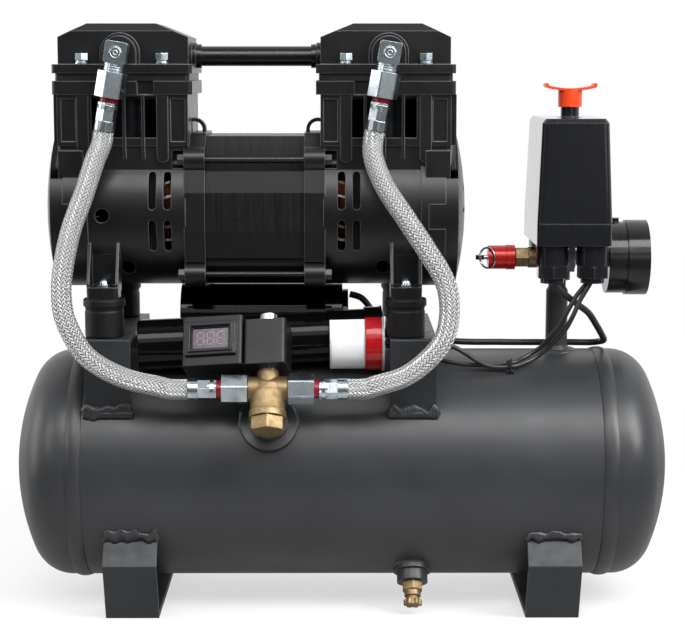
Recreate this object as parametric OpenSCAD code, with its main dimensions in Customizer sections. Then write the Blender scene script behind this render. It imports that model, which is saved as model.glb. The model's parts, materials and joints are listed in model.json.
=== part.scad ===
// Twin-head oil-free air compressor on a small horizontal tank.
// Millimetres, +Z up, +X towards the pressure switch, -Y towards the front.
// Origin: on the floor, at the middle of the four holes in the two feet.

/* [Tank] */
// Outside diameter of the tank
tank_d = 158; // [152:1:164]
// Distance between the two girth seams
seam_span = 359; // [355:1:380]
// Thickness of the tank's plate
tank_wall = 2.5; // [2:0.5:4]
// Straight part of each tank end, before it starts to curve
end_skirt = 8; // [6:1:12]
// Depth of each dished tank end
end_dish = 38.5; // [36:0.5:44]
// Radius of the tight bend between a tank end's side and its crown
end_knuckle = 27; // [20:1:30]
// Gap between the tank and the floor
tank_lift = 17; // [14:1:24]
// Width of a girth weld bead
bead_w = 10; // [7:1:12]

/* [Feet] */
// Width of a foot strap
foot_w = 36; // [30:1:44]
// Distance between the middles of the two feet
foot_span = 285; // [270:1:300]
// Thickness of a foot strap
foot_plate = 3.5; // [2.5:0.5:4.5]
// Depth of a foot where it stands on the floor
foot_depth = 128; // [120:1:134]
// Diameter of a hole in a foot
foot_hole_d = 8; // [6:0.5:10]
// Distance from the front hole to the rear hole of one foot
foot_hole_span = 90; // [80:1:96]

/* [Pump carrier] */
// Distance of the pump's middle from the tank's middle, towards the left
pump_shift = 58.5; // [54:0.5:62]
// Distance between the left and right pump feet
mount_span_x = 202; // [196:1:206]
// Distance between the front and rear pump feet
mount_span_y = 104; // [100:1:108]
// Width of a bracket strap
bracket_w = 31; // [28:1:36]
// Thickness of a bracket strap
bracket_plate = 3; // [2:0.5:4]
// Height of the bracket tops above the top of the tank
bracket_rise = 17; // [14:1:22]
// Diameter of a rubber mount
cushion_d = 27.5; // [26:0.5:30]
// Height of a rubber mount
cushion_h = 26; // [20:1:30]
// Diameter of the screw through a rubber mount
mount_screw_d = 6; // [5:1:8]

/* [Pump] */
// Height of the shaft above the undersides of the pump feet
shaft_rise = 57; // [56:0.5:64]
// Length of the laminated stator
stator_len = 66; // [60:1:72]
// Width across the stator's flats
stator_flat = 100; // [96:1:102]
// Outside diameter of the pump housings
housing_d = 106; // [104:1:108]
// Wall of the pump housings and end covers
housing_wall = 3.5; // [2.5:0.5:4.5]
// Distance from the pump's middle to the end of each dome
pump_half = 143; // [141:0.5:150]
// Distance from the pump's middle to each cylinder's axis
cylinder_offset = 87.5; // [86:0.5:88]
// Side of a cylinder block, measured along the shaft
block_w = 87; // [86:1:92]
// Depth of a cylinder block from front to back
block_depth = 90; // [86:1:94]
// Height of a cylinder block's top face above the shaft
block_top = 87; // [84:1:92]
// Bore of a cylinder sleeve
bore_d = 57; // [52:1:60]
// Throw of each crank, half of the stroke
crank_throw = 8; // [5:0.5:9]
// Diameter of the shaft
shaft_d = 12; // [10:1:14]

/* [Heads] */
// Thickness of a valve plate
valve_plate = 5; // [3:0.5:7]
// Height of a head cover
cover_h = 33; // [30:1:40]
// Size of the square block of a hose elbow
elbow_size = 14.5; // [13:0.5:16]
// Lean of the elbows from straight down, in degrees
elbow_lean = 10; // [6:1:14]
// Outside diameter of the crossover pipe
crossover_d = 13.5; // [11:0.5:15]

/* [Hoses and check valve] */
// Outside diameter of the braided hoses
hose_d = 14; // [12:0.5:15]
// Width across the flats of a hose nut
nut_flat = 18; // [16:1:20]
// Length of a hose nut
nut_len = 17; // [14:1:18]
// Angle of the valve's seat above the horizontal, in degrees
seat_angle = 29.5; // [27:0.5:32]
// Distance from the tank to the axis of the check valve
valve_reach = 28; // [26:1:32]
// Diameter of the check valve's barrel
barrel_d = 23; // [20:1:24]

/* [Pressure switch] */
// Height of the switch box's underside above the top of the tank
switch_rise = 77; // [74:1:84]
// Width of the switch box at its base
switch_w = 50.5; // [46:0.5:54]
// Depth of the switch box
switch_depth = 93; // [88:1:98]
// Height of the switch cover
switch_cover_h = 70; // [60:1:76]
// Travel of the pull knob
knob_travel = 6; // [3:1:7]
// Diameter of the pressure gauge's bezel
gauge_d = 52; // [46:1:54]
// Diameter of the riser pipe
riser_d = 15.2; // [14:0.2:17]
// Diameter of the thread bore of the air outlet
outlet_bore_d = 11.8; // [10:0.1:13]

/* [Hidden] */
$fn = 64;
eps = 0.01;
fit = 0.05;       // running gap on a radius
clear = 0.3;      // gap between pieces that must not touch

// Tank and feet
tank_r = tank_d / 2;
tank_z = tank_lift + tank_r;
tank_top = tank_z + tank_r;
tank_half = seam_span / 2 + end_skirt + end_dish;
foot_knee = [tank_r, 0.5 * tank_r];      // where a foot strap folds outwards, as Y and Z
foot_weld = [0.84 * tank_r, 0.74 * tank_r];

// Pump stack
pump_x = -pump_shift;
bracket_top = tank_top + bracket_rise;
bracket_y = mount_span_y / 2 + 12;
cushion_top = bracket_top + cushion_h;
foot_block_h = 8;
foot_block_w = 21;
shaft_z = cushion_top + shaft_rise;
stator_half = stator_len / 2;
stator_round = 0.57 * stator_flat;
stator_step = 6;         // step back of the stator's corners behind its front
winding_r = 0.35 * stator_flat;
rotor_r = 0.26 * stator_flat;
collar_len = 14;
collar_end = stator_half + collar_len;
housing_r = housing_d / 2;
rim_start = cylinder_offset + 23.5;
rim_r = housing_r + 1.2;
cover_split = cylinder_offset + 40;
tongue_in = cover_split - 11;
block_in = cylinder_offset - block_w / 2;
block_out = cylinder_offset + block_w / 2;
flange_h = 9;
flange_grow = 3;
frame_low = 44;
frame_rise = 1.4;
post_low = 33;
post_w = 7.6;
post_rise = 2.2;
fin_x = [-13.7, -1.1, 11.5];
fin_w = 2;
window_half = 22.5;
window_low = 49.5;
sleeve_wall = 2.5;
sleeve_r = bore_d / 2 + sleeve_wall;
sleeve_len = 58;
tie_y = 43.8;
tie_z = 38.5;
tie_drop = 3.5;
tie_d = 4;
dome_sag = 7;
dome_r = (rim_r * rim_r + dome_sag * dome_sag) / (2 * dome_sag);
bearing_x = cylinder_offset - 17;
bearing_w = 7;
bearing_d = 26;
disc_x = bearing_x + bearing_w + 1;
disc_w = 5;
rod_w = 8;
rod_x = disc_x + disc_w + clear;
pin_r = crank_throw + shaft_d / 2 + 1.4;
fan_x = cylinder_offset + 33;
fan_w = 12;
fan_r = housing_r - housing_wall - 6;

// Heads
cover_z = block_top + valve_plate;
cover_top = cover_z + cover_h;
cover_flange_h = 6;
cover_y = 37.2;
bolt_dx = 26.5;
bolt_y = block_depth / 2 - 1.8;
crossover_z = cover_z + 11.5;
port_dx = 2;
port_z = cover_z + 13.5;
elbow_y = block_depth / 2 + 13;
elbow_nut = 12.5;
ferrule_len = 18.5;
hose_in = 3;             // length of hose inside a ferrule's end ring

// Brackets under the pump
bracket_x = pump_x + 4;
bracket_span = mount_span_x + 2;

// Check valve
valve_x = -49;
seat_r = tank_r + valve_reach;
arm_t = 15;
arm_half = 13;
union_r = 6.5;          // outer radius of the threads under the hose nuts
coil_t = 28;
coil_h = 31;
coil_turn = -9;
coil_w = 28;

// Pressure switch
riser_x = 150;
switch_x = riser_x + 6;
switch_z = tank_top + switch_rise;
switch_base_h = 15;
switch_y = -1.5;
switch_seam = switch_z + switch_base_h;
switch_top = switch_seam + switch_cover_h;
port_axis_z = switch_z - 12;
manifold_w = 24;
gland_x = 13.7;
gland_y = -34;
knob_x = riser_x + 7;
gauge_x = riser_x + 33;
gauge_len = 28;
sv_x = riser_x - 15;

// Drain
drain_x = 48;
drain_angle = 33;

// Hose and cable routes, as points along each centre line
hose_left_mid = [
    [-163, -61, 310], [-170, -66, 288], [-178, -71, 265], [-183, -77, 240],
    [-184, -80, 222], [-181, -82, 206], [-171, -83, 187], [-158, -84, 176],
    [-140, -85, 168], [-122, -86, 164],
];
hose_right_mid = [
    [21, -61, 310], [28, -66, 293], [42, -72, 272], [56, -77, 251],
    [67, -80, 232], [70, -82, 214], [67, -83, 196], [57, -84, 182],
    [41, -85, 170], [22, -86, 164],
];
hose_rings = 26;
feed_cable = [
    [142, -34, 232], [144, -33.5, 226], [152, -31, 217.5], [162, -26, 209.5], [170, -18, 203],
    [177, -10, 193], [182, -2, 185], [184, 5, 181], [181, 11, 179], [175, 14, 178],
    [162, 15, 178], [145, 15, 178], [128, 15, 178], [110, 16, 178], [85, 18, 178],
    [60, 20, 180], [44, 19, 181], [33, 16, 182.5], [26, 13, 190], [21, 11, 201], [14, 10, 210], [5.5, 10, 213],
];
lead_a = [
    [168.5, -33, 231], [166.5, -33, 226], [159, -34, 216.5], [153, -35, 206], [148, -34, 196],
    [142, -30, 188], [137, -26, 181], [130, -25, 176], [123, -29, 173], [116, -34, 171],
    [101, -35, 170], [87, -35, 170], [77, -34, 171], [66, -31, 173], [52, -30, 179],
    [42, -30, 183], [29, -30, 184],
];
lead_b = [
    [171, -36, 231], [167, -37, 224], [161, -38, 214], [157, -39, 205], [152, -38, 195],
    [146, -34, 187], [140, -30, 180], [133, -29, 174], [125, -33, 171], [116, -38, 169],
    [102, -39, 169], [92, -39, 173], [84, -38, 178], [75, -39, 183], [66, -40, 185],
    [54, -40, 184.5], [42, -39, 184.5], [29, -37, 185],
];

// ---------- shared shapes ----------

function unit(v) = v / norm(v);

// Point at share t of the curve through b and c, with a before and d after
function curve_point(a, b, c, d, t) =
    0.5 * (2 * b + (c - a) * t + (2 * a - 5 * b + 4 * c - d) * t * t
        + (3 * b - a - 3 * c + d) * t * t * t);

// Smooth path of n + 1 points through the listed points
function smooth_path(p, n) = [
    for (i = [0 : n])
        let (u = i / n * (len(p) - 1), k = min(floor(u), len(p) - 2), t = u - k)
        curve_point(p[max(k - 1, 0)], p[k], p[k + 1], p[min(k + 2, len(p) - 1)], t)
];

function path_tangents(p) = [
    for (i = [0 : len(p) - 1])
        unit(p[min(i + 1, len(p) - 1)] - p[max(i - 1, 0)])
];

function across(v, t) = unit(v - (v * t) * t);

// A direction at each point, across the path and turned as little as possible
function path_sides(t) = [
    for (i = 0, s = across([0, 1, 0.2], t[0]); i < len(t);
        i = i + 1, s = across(s, t[min(i, len(t) - 1)])) s
];

// Round tube along a list of points
module swept_tube(p, r, sides) {
    t = path_tangents(p);
    s = path_sides(t);
    n = len(p);
    ring_points = [
        for (i = [0 : n - 1], k = [0 : sides - 1])
            let (a = 360 * k / sides)
            p[i] + r * (cos(a) * s[i] + sin(a) * cross(t[i], s[i]))
    ];
    walls = [
        for (i = [0 : n - 2], k = [0 : sides - 1])
            let (j = (k + 1) % sides)
            [i * sides + k, i * sides + j, (i + 1) * sides + j, (i + 1) * sides + k]
    ];
    first_cap = [[for (k = [sides - 1 : -1 : 0]) k]];
    last_cap = [[for (k = [0 : sides - 1]) (n - 1) * sides + k]];
    polyhedron(ring_points, [for (f = concat(walls, first_cap, last_cap)) [for (q = f) q]], convexity = 6);
}

module along_x(x0, x1, r) {
    translate([x0, 0, 0]) rotate([0, 90, 0]) cylinder(h = x1 - x0, r = r);
}

module along_y(y0, y1, r) {
    translate([0, y1, 0]) rotate([90, 0, 0]) cylinder(h = y1 - y0, r = r);
}

module hex_prism(flat, h) {
    rotate(30) cylinder(h = h, d = flat / cos(30), $fn = 6);
}

module rounded_rect(w, h, r) {
    square([w - 2 * r, h], center = true);
    square([w, h - 2 * r], center = true);
    for (x = [-1, 1], y = [-1, 1])
        translate([x * (w / 2 - r), y * (h / 2 - r)]) circle(r);
}

module rounded_block(w, d, h, r) {
    linear_extrude(h) rounded_rect(w, d, r);
}

// Bent strap in the YZ plane: p lists its centre line
module strap_outline(p, t) {
    for (i = [0 : len(p) - 2]) {
        side = t / 2 * unit([p[i][1] - p[i + 1][1], p[i + 1][0] - p[i][0]]);
        polygon([p[i] + side, p[i + 1] + side, p[i + 1] - side, p[i] - side]);
    }
    for (q = p) translate(q) circle(t / 2, $fn = 32);
}

module strap(p, t, w) {
    translate([-w / 2, 0, 0]) rotate([90, 0, 90]) linear_extrude(w) strap_outline(p, t);
}

module tank_solid(grow = 0) {
    translate([0, 0, tank_z]) along_x(-seam_span / 2, seam_span / 2, tank_r + grow);
}

// Places a piece on the tank, with its +Z pointing out, turned down from the top to the front
module on_tank(x, angle) {
    translate([x, 0, tank_z]) rotate([angle, 0, 0]) translate([0, 0, tank_r]) children();
}

// Places a piece of the pump: +X points out along the shaft on each side
module on_pump(side) {
    translate([pump_x, 0, shaft_z]) mirror([side < 0 ? 1 : 0, 0, 0]) children();
}

module both_sides() {
    for (side = [-1, 1]) on_pump(side) children();
}

// ---------- tank ----------

module tank_shell() {
    color("#3a3a3c") difference() {
        tank_solid();
        translate([0, 0, tank_z]) along_x(-seam_span, seam_span, tank_r - tank_wall);
        on_tank(riser_x, 0) translate([0, 0, -2 * tank_wall]) cylinder(h = 4 * tank_wall, r = riser_d / 2 + fit);
        on_tank(valve_x, 90 - seat_angle) translate([0, 0, -3 * tank_wall]) cylinder(h = 6 * tank_wall, r = 8 + fit);
        on_tank(drain_x, 180 - drain_angle)
            translate([0, 0, -3 * tank_wall]) cylinder(h = 6 * tank_wall, r = 7 + fit);
    }
}

// Half outline of a dished end, with a skirt, a tight knuckle and a shallow crown
module dish_outline(r, depth, knuckle) {
    crown = ((r - knuckle) * (r - knuckle) + depth * depth - knuckle * knuckle) / (2 * (depth - knuckle));
    centre = end_skirt + depth - crown;
    turn = crown / (crown - knuckle);
    meet = [(r - knuckle) * turn, centre + (end_skirt - centre) * turn];
    polygon([[0, 0], [r, 0], [r, end_skirt], meet, [0, meet[1]]]);
    intersection() {
        translate([r - knuckle, end_skirt]) circle(knuckle);
        translate([r - knuckle, end_skirt]) square([knuckle, knuckle]);
    }
    intersection() {
        translate([0, centre]) circle(crown, $fn = 128);
        translate([0, meet[1]]) square([meet[0], depth]);
    }
}

module girth_bead() {
    rotate_extrude() translate([tank_r, 0]) intersection() {
        translate([-bead_w * 1.1, 0]) circle(r = bead_w * 1.1 + 1.4);
        translate([0, -bead_w / 2]) square([3, bead_w]);
    }
}

module tank_end() {
    difference() {
        rotate_extrude() dish_outline(tank_r, end_dish, end_knuckle);
        rotate_extrude() dish_outline(tank_r - tank_wall, end_dish - tank_wall, end_knuckle - tank_wall);
    }
    girth_bead();
}

module tank_end_left() {
    color("#3a3a3c") translate([-seam_span / 2, 0, tank_z]) rotate([0, -90, 0]) tank_end();
}

module tank_end_right() {
    color("#3a3a3c") translate([seam_span / 2, 0, tank_z]) rotate([0, 90, 0]) tank_end();
}

// ---------- feet and brackets ----------

module foot_strap() {
    h = foot_plate / 2;
    bottom = foot_depth / 2 - h;
    knee = foot_knee - [h, 0];
    weld = foot_weld - [h, 0];
    path = [[-weld[0], weld[1]], [-knee[0], knee[1]], [-bottom, h], [bottom, h], knee, weld];
    strap(path, foot_plate, foot_w);
    for (y = [-1, 1])
        translate([0, y * weld[0], weld[1]]) along_x(-foot_w / 2 - 1, foot_w / 2 + 1, foot_plate * 0.9);
}

module tank_feet() {
    color("#3f4042") for (side = [-1, 1]) difference() {
        translate([side * foot_span / 2, 0, 0]) foot_strap();
        tank_solid();
        for (y = [-1, 1])
            translate([side * foot_span / 2, y * foot_hole_span / 2, -1])
                cylinder(h = foot_plate + 2, d = foot_hole_d);
    }
}

module bracket_strap() {
    h = bracket_plate / 2;
    foot_z = tank_z + sqrt(tank_r * tank_r - bracket_y * bracket_y) - 1;
    y = bracket_y + h;
    path = [[-y, foot_z], [-y, bracket_top - h], [y, bracket_top - h], [y, foot_z]];
    strap(path, bracket_plate, bracket_w);
    for (s = [-1, 1])
        translate([0, s * (y + 0.5), foot_z]) along_x(-bracket_w / 2 - 1, bracket_w / 2 + 1, 3.2);
}

module pump_brackets() {
    color("#363638") for (side = [-1, 1]) difference() {
        translate([bracket_x + side * bracket_span / 2, 0, 0]) bracket_strap();
        tank_solid();
        for (y = [-1, 1])
            translate([pump_x + side * mount_span_x / 2, y * mount_span_y / 2, bracket_top - 10])
                cylinder(h = 12, d = mount_screw_d + 2 * clear);
    }
}

module at_mounts(z) {
    for (x = [-1, 1], y = [-1, 1])
        translate([pump_x + x * mount_span_x / 2, y * mount_span_y / 2, z]) children();
}

module rubber_mounts() {
    r = cushion_d / 2;
    color("#202022") at_mounts(bracket_top) rotate_extrude() difference() {
        union() {
            translate([mount_screw_d / 2 + fit, 0]) square([r - mount_screw_d / 2 - fit - 2, cushion_h]);
            translate([mount_screw_d / 2 + fit, 1.2]) square([r - mount_screw_d / 2 - fit - 0.8, cushion_h - 2.4]);
            translate([r - 2, 1.2]) circle(1.2);
            translate([r - 1.2, cushion_h - 1.4]) circle(1.4);
            translate([mount_screw_d / 2 + fit, cushion_h - 5]) square([r - mount_screw_d / 2 - fit + 0.2, 3.6]);
        }
        translate([r + 1.2, cushion_h - 7.5]) circle(2.4);
    }
}

module mount_screws() {
    top = cushion_h + foot_block_h;
    color("#b8bcc2") at_mounts(bracket_top) {
        translate([0, 0, -bracket_plate - 7]) cylinder(h = top + bracket_plate + 7, d = mount_screw_d);
        translate([0, 0, top]) cylinder(h = 1.2, r = mount_screw_d * 0.95);
        translate([0, 0, top + 1]) rotate_extrude() intersection() {
            circle(mount_screw_d * 0.7);
            square(mount_screw_d * 0.7);
        }
        translate([0, 0, -bracket_plate - 5]) hex_prism(mount_screw_d * 1.6, 5);
    }
}

// ---------- drain ----------

module drain_bung() {
    difference() {
        on_tank(drain_x, 180 - drain_angle) {
            translate([0, 0, -2]) cylinder(h = 5, r = 13);
            translate([0, 0, -2]) cylinder(h = 12.5, r = 10.5);
        }
        tank_solid();
        on_tank(drain_x, 180 - drain_angle) translate([0, 0, -6]) cylinder(h = 20, r = 5 + fit);
    }
}

module valve_bung() {
    difference() {
        at_valve() {
            translate([0, valve_reach - 9, 0]) along_y(0, 14, 13);
            translate([0, valve_reach - 3.5, 0]) along_y(0, 9, 19);
        }
        tank_solid();
        at_valve() along_y(0, valve_reach + 10, 8 + fit);
    }
}

module tank_bungs() {
    color("#343436") drain_bung();
    color("#38383a") valve_bung();
}

module drain_valve_body() {
    color("#c9a468") on_tank(drain_x, 180 - drain_angle) difference() {
        union() {
            translate([0, 0, 1]) cylinder(h = 10, r = 5);
            translate([0, 0, 10.5]) hex_prism(13, 6);
            translate([0, 0, 16]) cylinder(h = 4.5, r = 5.6);
        }
        translate([0, 0, 0]) cylinder(h = 30, r = 2.5);
    }
}

module drain_valve_knob() {
    color("#c9a468") on_tank(drain_x, 180 - drain_angle) {
        translate([0, 0, 6]) cylinder(h = 15.2, r = 2.5 - fit);
        translate([0, 0, 20.8]) cylinder(h = 6, r = 4.6);
        translate([0, 0, 23]) for (a = [0 : 60 : 300]) rotate(a) translate([4.6, 0, 0]) cylinder(h = 3.8, r = 1.6);
    }
}

// ---------- riser, manifold and outlet ----------

module riser_pipe() {
    neck = port_axis_z - tank_top - 23;
    color("#39393b") difference() {
        union() {
            on_tank(riser_x, 0) {
                translate([0, 0, -tank_wall]) cylinder(h = neck + tank_wall, d = riser_d);
                translate([0, 0, neck]) cylinder(h = 2.5, d1 = riser_d, d2 = riser_d - 3);
                translate([0, 0, neck - 2]) cylinder(h = 9.5, d = riser_d - 3);
            }
            difference() {
                on_tank(riser_x, 0) translate([0, 0, -1.5]) cylinder(h = 5, r1 = riser_d / 2 + 3.5, r2 = riser_d / 2);
                tank_solid();
            }
        }
        on_tank(riser_x, 0) translate([0, 0, -10]) cylinder(h = neck + 40, d = riser_d - 6);
    }
}

module manifold_block() {
    r = manifold_w / 2;
    low = port_axis_z - 15.5;
    color("#b9babd") difference() {
        translate([riser_x, 0, 0]) {
            translate([0, 0, low]) cylinder(h = 10, r = 9);
            translate([-10.5, -r, port_axis_z - 9]) cube([21, manifold_w, switch_z - port_axis_z + 7]);
            translate([0, 0, port_axis_z]) along_x(-r, r, 7.8);
            translate([0, 0, port_axis_z]) along_y(r - 1, r + 8, 8.6);
            translate([0, 0, switch_z - 4]) cylinder(h = 4, r = 20);
        }
        translate([riser_x, 0, port_axis_z]) {
            along_x(-r - 1, -5, 4.8);
            along_x(5, r + 1, 4.8);
            along_x(-6, 6, 3.6);
            along_y(2, r + 12, outlet_bore_d / 2);
            translate([0, 0, -30]) cylinder(h = 44, r = 3.1);
        }
    }
}

// ---------- pressure switch ----------

module switch_base() {
    color("#26262a") difference() {
        translate([switch_x, switch_y, switch_z]) {
            rounded_block(switch_w, switch_depth, switch_base_h, 4);
            for (x = [-1, 1])
                translate([x * gland_x, gland_y - switch_y, -14]) cylinder(h = 15, r = 11);
        }
        translate([switch_x, switch_y, switch_z + 3])
            rounded_block(switch_w - 6, switch_depth - 6, switch_base_h, 2);
        for (x = [-1, 1])
            translate([switch_x + x * gland_x, gland_y, switch_z - 20]) cylinder(h = 30, r = 7 + fit);
        translate([riser_x, 0, switch_z - 1]) cylinder(h = 6, r = 3);
    }
}

module cover_form(grow, h) {
    hull() {
        translate([0, 0, 0]) linear_extrude(0.5) rounded_rect(switch_w + grow, switch_depth + grow, 4, $fn = 24);
        translate([0, 0, h - 4]) linear_extrude(1)
            rounded_rect(switch_w - 5.5 + grow, switch_depth - 4 + grow, 4, $fn = 24);
        translate([0, 0, h - 0.5]) linear_extrude(0.5)
            rounded_rect(switch_w - 10 + grow, switch_depth - 8 + grow, 3, $fn = 24);
    }
}

module switch_cover() {
    color("#222226") translate([switch_x, switch_y, switch_seam]) difference() {
        union() {
            cover_form(0, switch_cover_h);
            translate([knob_x - switch_x, -switch_y, switch_cover_h - 1]) cylinder(h = 9, r = 6.4);
            translate([knob_x - switch_x, -switch_y, switch_cover_h - 1]) cylinder(h = 1.2, r = 9);
        }
        translate([0, 0, -eps]) cover_form(-5, switch_cover_h - 2.5);
        translate([knob_x - switch_x, -switch_y, 0]) cylinder(h = switch_cover_h + 20, r = 3 + 0.1);
    }
}

module switch_knob() {
    cup_z = switch_top + 7;
    cup_h = 12.4;
    curl_r = 62;
    color("#f4511e") translate([knob_x, 0, cup_z]) {
        difference() {
            cylinder(h = cup_h, r = 8.2);
            translate([0, 0, -1]) cylinder(h = cup_h - 2, r = 6.4 + 2 * clear);
        }
        // wings that curl up at both sides
        translate([0, 7, cup_h + curl_r - 0.6]) rotate([90, 0, 0]) linear_extrude(14) intersection() {
            difference() {
                circle(curl_r + 0.9, $fn = 128);
                circle(curl_r - 0.9, $fn = 128);
            }
            translate([-17.5, -curl_r - 5]) square([35, 20]);
        }
        for (x = [-1, 1]) translate([x * 16.6, 0, cup_h + 2.6]) along_y(-7, 7, 1.3);
        translate([0, 0, -20]) cylinder(h = 30, r = 3);
    }
}

module cable_glands() {
    color("#1d1d1f") for (x = [-1, 1]) translate([switch_x + x * gland_x, gland_y, 0]) difference() {
        union() {
            translate([0, 0, switch_z - 16]) cylinder(h = 14, r = 7);
            translate([0, 0, switch_z - 22.5]) hex_prism(19.5, 8.3);
            translate([0, 0, switch_z - 26]) cylinder(h = 4, r = 8);
        }
        translate([0, 0, switch_z - 40]) cylinder(h = 60, r = 5.6);
    }
}

// ---------- safety valve and gauge ----------

module at_port() {
    translate([riser_x, 0, port_axis_z]) children();
}

module safety_valve_body() {
    color("#b8945a") at_port() difference() {
        union() {
            along_x(-15, -6, 4.8 - fit);
            translate([-20.5, 0, 0]) rotate([0, 90, 0]) cylinder(h = 6.5, r = 7.3);
            translate([-29.5, 0, 0]) rotate([0, 90, 0]) hex_prism(12.5, 10);
            along_x(-38, -29, 4.2);
        }
        along_x(-42, -8, 2.2);
    }
}

module safety_valve_cap() {
    color("#b3121d") at_port() difference() {
        union() {
            along_x(-48.5, -30, 8.2);
            along_x(-36, -30, 8.6);
        }
        along_x(-39, -29, 4.2 + fit);
        along_x(-50, -38, 2.2);
    }
}

module safety_valve_stem() {
    color("#c8ccd0") at_port() difference() {
        union() {
            along_x(-52, -14, 1.6);
            translate([-54, 0, -1.6]) cylinder(h = 3.2, r = 3);
        }
        translate([-54, 0, -3]) cylinder(h = 6, r = 1.2);
    }
}

module safety_valve_ring() {
    color("#c8ccd0") at_port() translate([-54, 0, 0]) rotate(-46) translate([7, 0, 0]) rotate([90, 0, 0])
        rotate_extrude() translate([7, 0]) circle(0.7, $fn = 24);
}

module gauge_case() {
    r = gauge_d / 2;
    color("#1c1c1e") translate([gauge_x, 0, port_axis_z]) difference() {
        union() {
            along_x(0, 15, r - 1.2);
            along_x(13, gauge_len, r);
            along_x(-33 + manifold_w / 2 - 6, 1, 4.8 - fit);
            translate([-8, 0, 0]) rotate([0, 90, 0]) hex_prism(13, 7);
            translate([6, 0, r - 3]) cylinder(h = 4.5, r = 3.2);
        }
        along_x(2, gauge_len + 1, r - 3);
    }
}

module gauge_dial() {
    color("#f4f4f2") translate([gauge_x, 0, port_axis_z]) difference() {
        along_x(17, 18, gauge_d / 2 - 3 - fit);
        along_x(10, 20, 1);
    }
}

module gauge_needle() {
    color("#c01818") translate([gauge_x, 0, port_axis_z]) {
        along_x(13, 20, 1 - fit);
        along_x(19, 20.2, 2.6);
        rotate([-45, 0, 0]) translate([19, -0.8, -19]) cube([0.8, 1.6, 24]);
    }
}

module gauge_lens() {
    color("#dfe8ec") translate([gauge_x, 0, port_axis_z]) along_x(gauge_len - 3, gauge_len - 1, gauge_d / 2 - 3 - fit);
}

// ---------- check valve and solenoid ----------

// Frame of the check valve: +Z along its stem, +Y towards the tank, seat pipe at the origin
module at_valve() {
    translate([valve_x, -seat_r * cos(seat_angle), tank_z + seat_r * sin(seat_angle)])
        rotate([-seat_angle, 0, 0]) children();
}

module check_valve_body() {
    r = barrel_d / 2;
    color("#c9a468") at_valve() difference() {
        union() {
            translate([0, 0, -1]) cylinder(h = 13, r = r);
            translate([0, 0, 10]) cylinder(h = 7, r = r * 0.88);
            translate([0, 0, -5.5]) cylinder(h = 4.7, r = r * 1.06);
            translate([0, 0, arm_t]) along_x(-arm_half, arm_half, 8.2);
            translate([0, 0, arm_t]) along_x(-arm_half - 10, arm_half + 10, union_r);
            translate([0, 0, arm_t]) cylinder(h = coil_t - arm_t - 1, r = 7.3);
            along_y(0, 14, 5.4);
            translate([0, 12, 0]) rotate([-90, 0, 0]) hex_prism(19, 6);
            along_y(17, valve_reach + 3, 8);
        }
        translate([0, 0, -6]) cylinder(h = 16, r = 7);
        translate([0, 0, 5]) cylinder(h = 30, r = 3);
        translate([0, 0, arm_t]) along_x(-40, 40, 3.2);
        along_y(5, valve_reach + 8, 3.4);
        translate([0, 0, coil_t - 8]) cylinder(h = 10, r = 4.5 + fit);
    }
}

module check_valve_cap() {
    color("#c9a468") at_valve() difference() {
        union() {
            translate([0, 0, -14.5]) hex_prism(20.5, 8.9);
            translate([0, 0, -6]) cylinder(h = 5, r = 7 - fit);
        }
        translate([0, 0, -5]) cylinder(h = 6, r = 4.5);
    }
}

module check_valve_poppet() {
    color("#d8d8d4") at_valve() {
        translate([0, 0, 5.7]) cylinder(h = 4, r = 6);
        translate([0, 0, -3.4]) cylinder(h = 10, r = 2);
    }
}

module solenoid_stem() {
    color("#c4c8cc") at_valve() difference() {
        union() {
            translate([0, 0, coil_t - 7.5]) cylinder(h = coil_h + 11, r = 4.5);
            translate([0, 0, coil_t + coil_h + 0.2]) cylinder(h = 7.5, r = 5.8);
            translate([0, 0, coil_t - 1]) cylinder(h = 0.9, r = 7);
        }
        translate([0, 0, coil_t - 8]) cylinder(h = 32, r = 3.2);
    }
}

module solenoid_plunger() {
    color("#9da2a6") at_valve() {
        translate([0, 0, coil_t - 4]) cylinder(h = 20, r = 3.2 - fit);
        translate([0, 0, coil_t - 7]) cylinder(h = 4, r = 1.6);
    }
}

module at_coil() {
    at_valve() translate([0, 0, coil_t]) rotate(coil_turn) children();
}

module solenoid_coil() {
    color("#1f2022") at_coil() difference() {
        translate([0, -1.5, 0]) rounded_block(coil_w, 27, coil_h, 2.5);
        translate([0, 0, -1]) cylinder(h = coil_h + 2, r = 4.5 + fit);
    }
}

module coil_connector() {
    x = -coil_w / 2 - clear - 20;
    color("#232325") at_coil() difference() {
        union() {
            translate([x, -7.5, 0]) rounded_block(40, 19, 34, 2);
            translate([x - 1, -15, 18]) rotate([90, 0, 0]) rounded_block(35, 22, 4.5, 1.5);
        }
        translate([x - 1, -17.5, 18]) rotate([90, 0, 0]) rounded_block(24.4, 14.4, 9, 0.8);
    }
}

module display_window() {
    x = -coil_w / 2 - clear - 21;
    color("#7d6f78") at_coil() translate([x, -17.5, 18]) rotate([90, 0, 0]) rounded_block(24.2, 14.2, 0.8, 0.7);
}

// ---------- hoses ----------

// Frame of an elbow: origin at its block's middle, -Z along its leaning outlet
module at_elbow(side) {
    translate([pump_x + side * (cylinder_offset + port_dx), -elbow_y, shaft_z + port_z])
        rotate([0, elbow_lean, 0]) children();
}

function elbow_origin(side) = [
    pump_x + side * (cylinder_offset + port_dx), -elbow_y, shaft_z + port_z,
];
elbow_down = [-sin(elbow_lean), 0, -cos(elbow_lean)];
hose_start = elbow_nut + nut_len + 4 + ferrule_len - hose_in;
valve_arm = [
    valve_x, -seat_r * cos(seat_angle) + arm_t * sin(seat_angle),
    tank_z + seat_r * sin(seat_angle) + arm_t * cos(seat_angle),
];
arm_hose = arm_half + nut_len + 4 + ferrule_len - hose_in;

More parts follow.
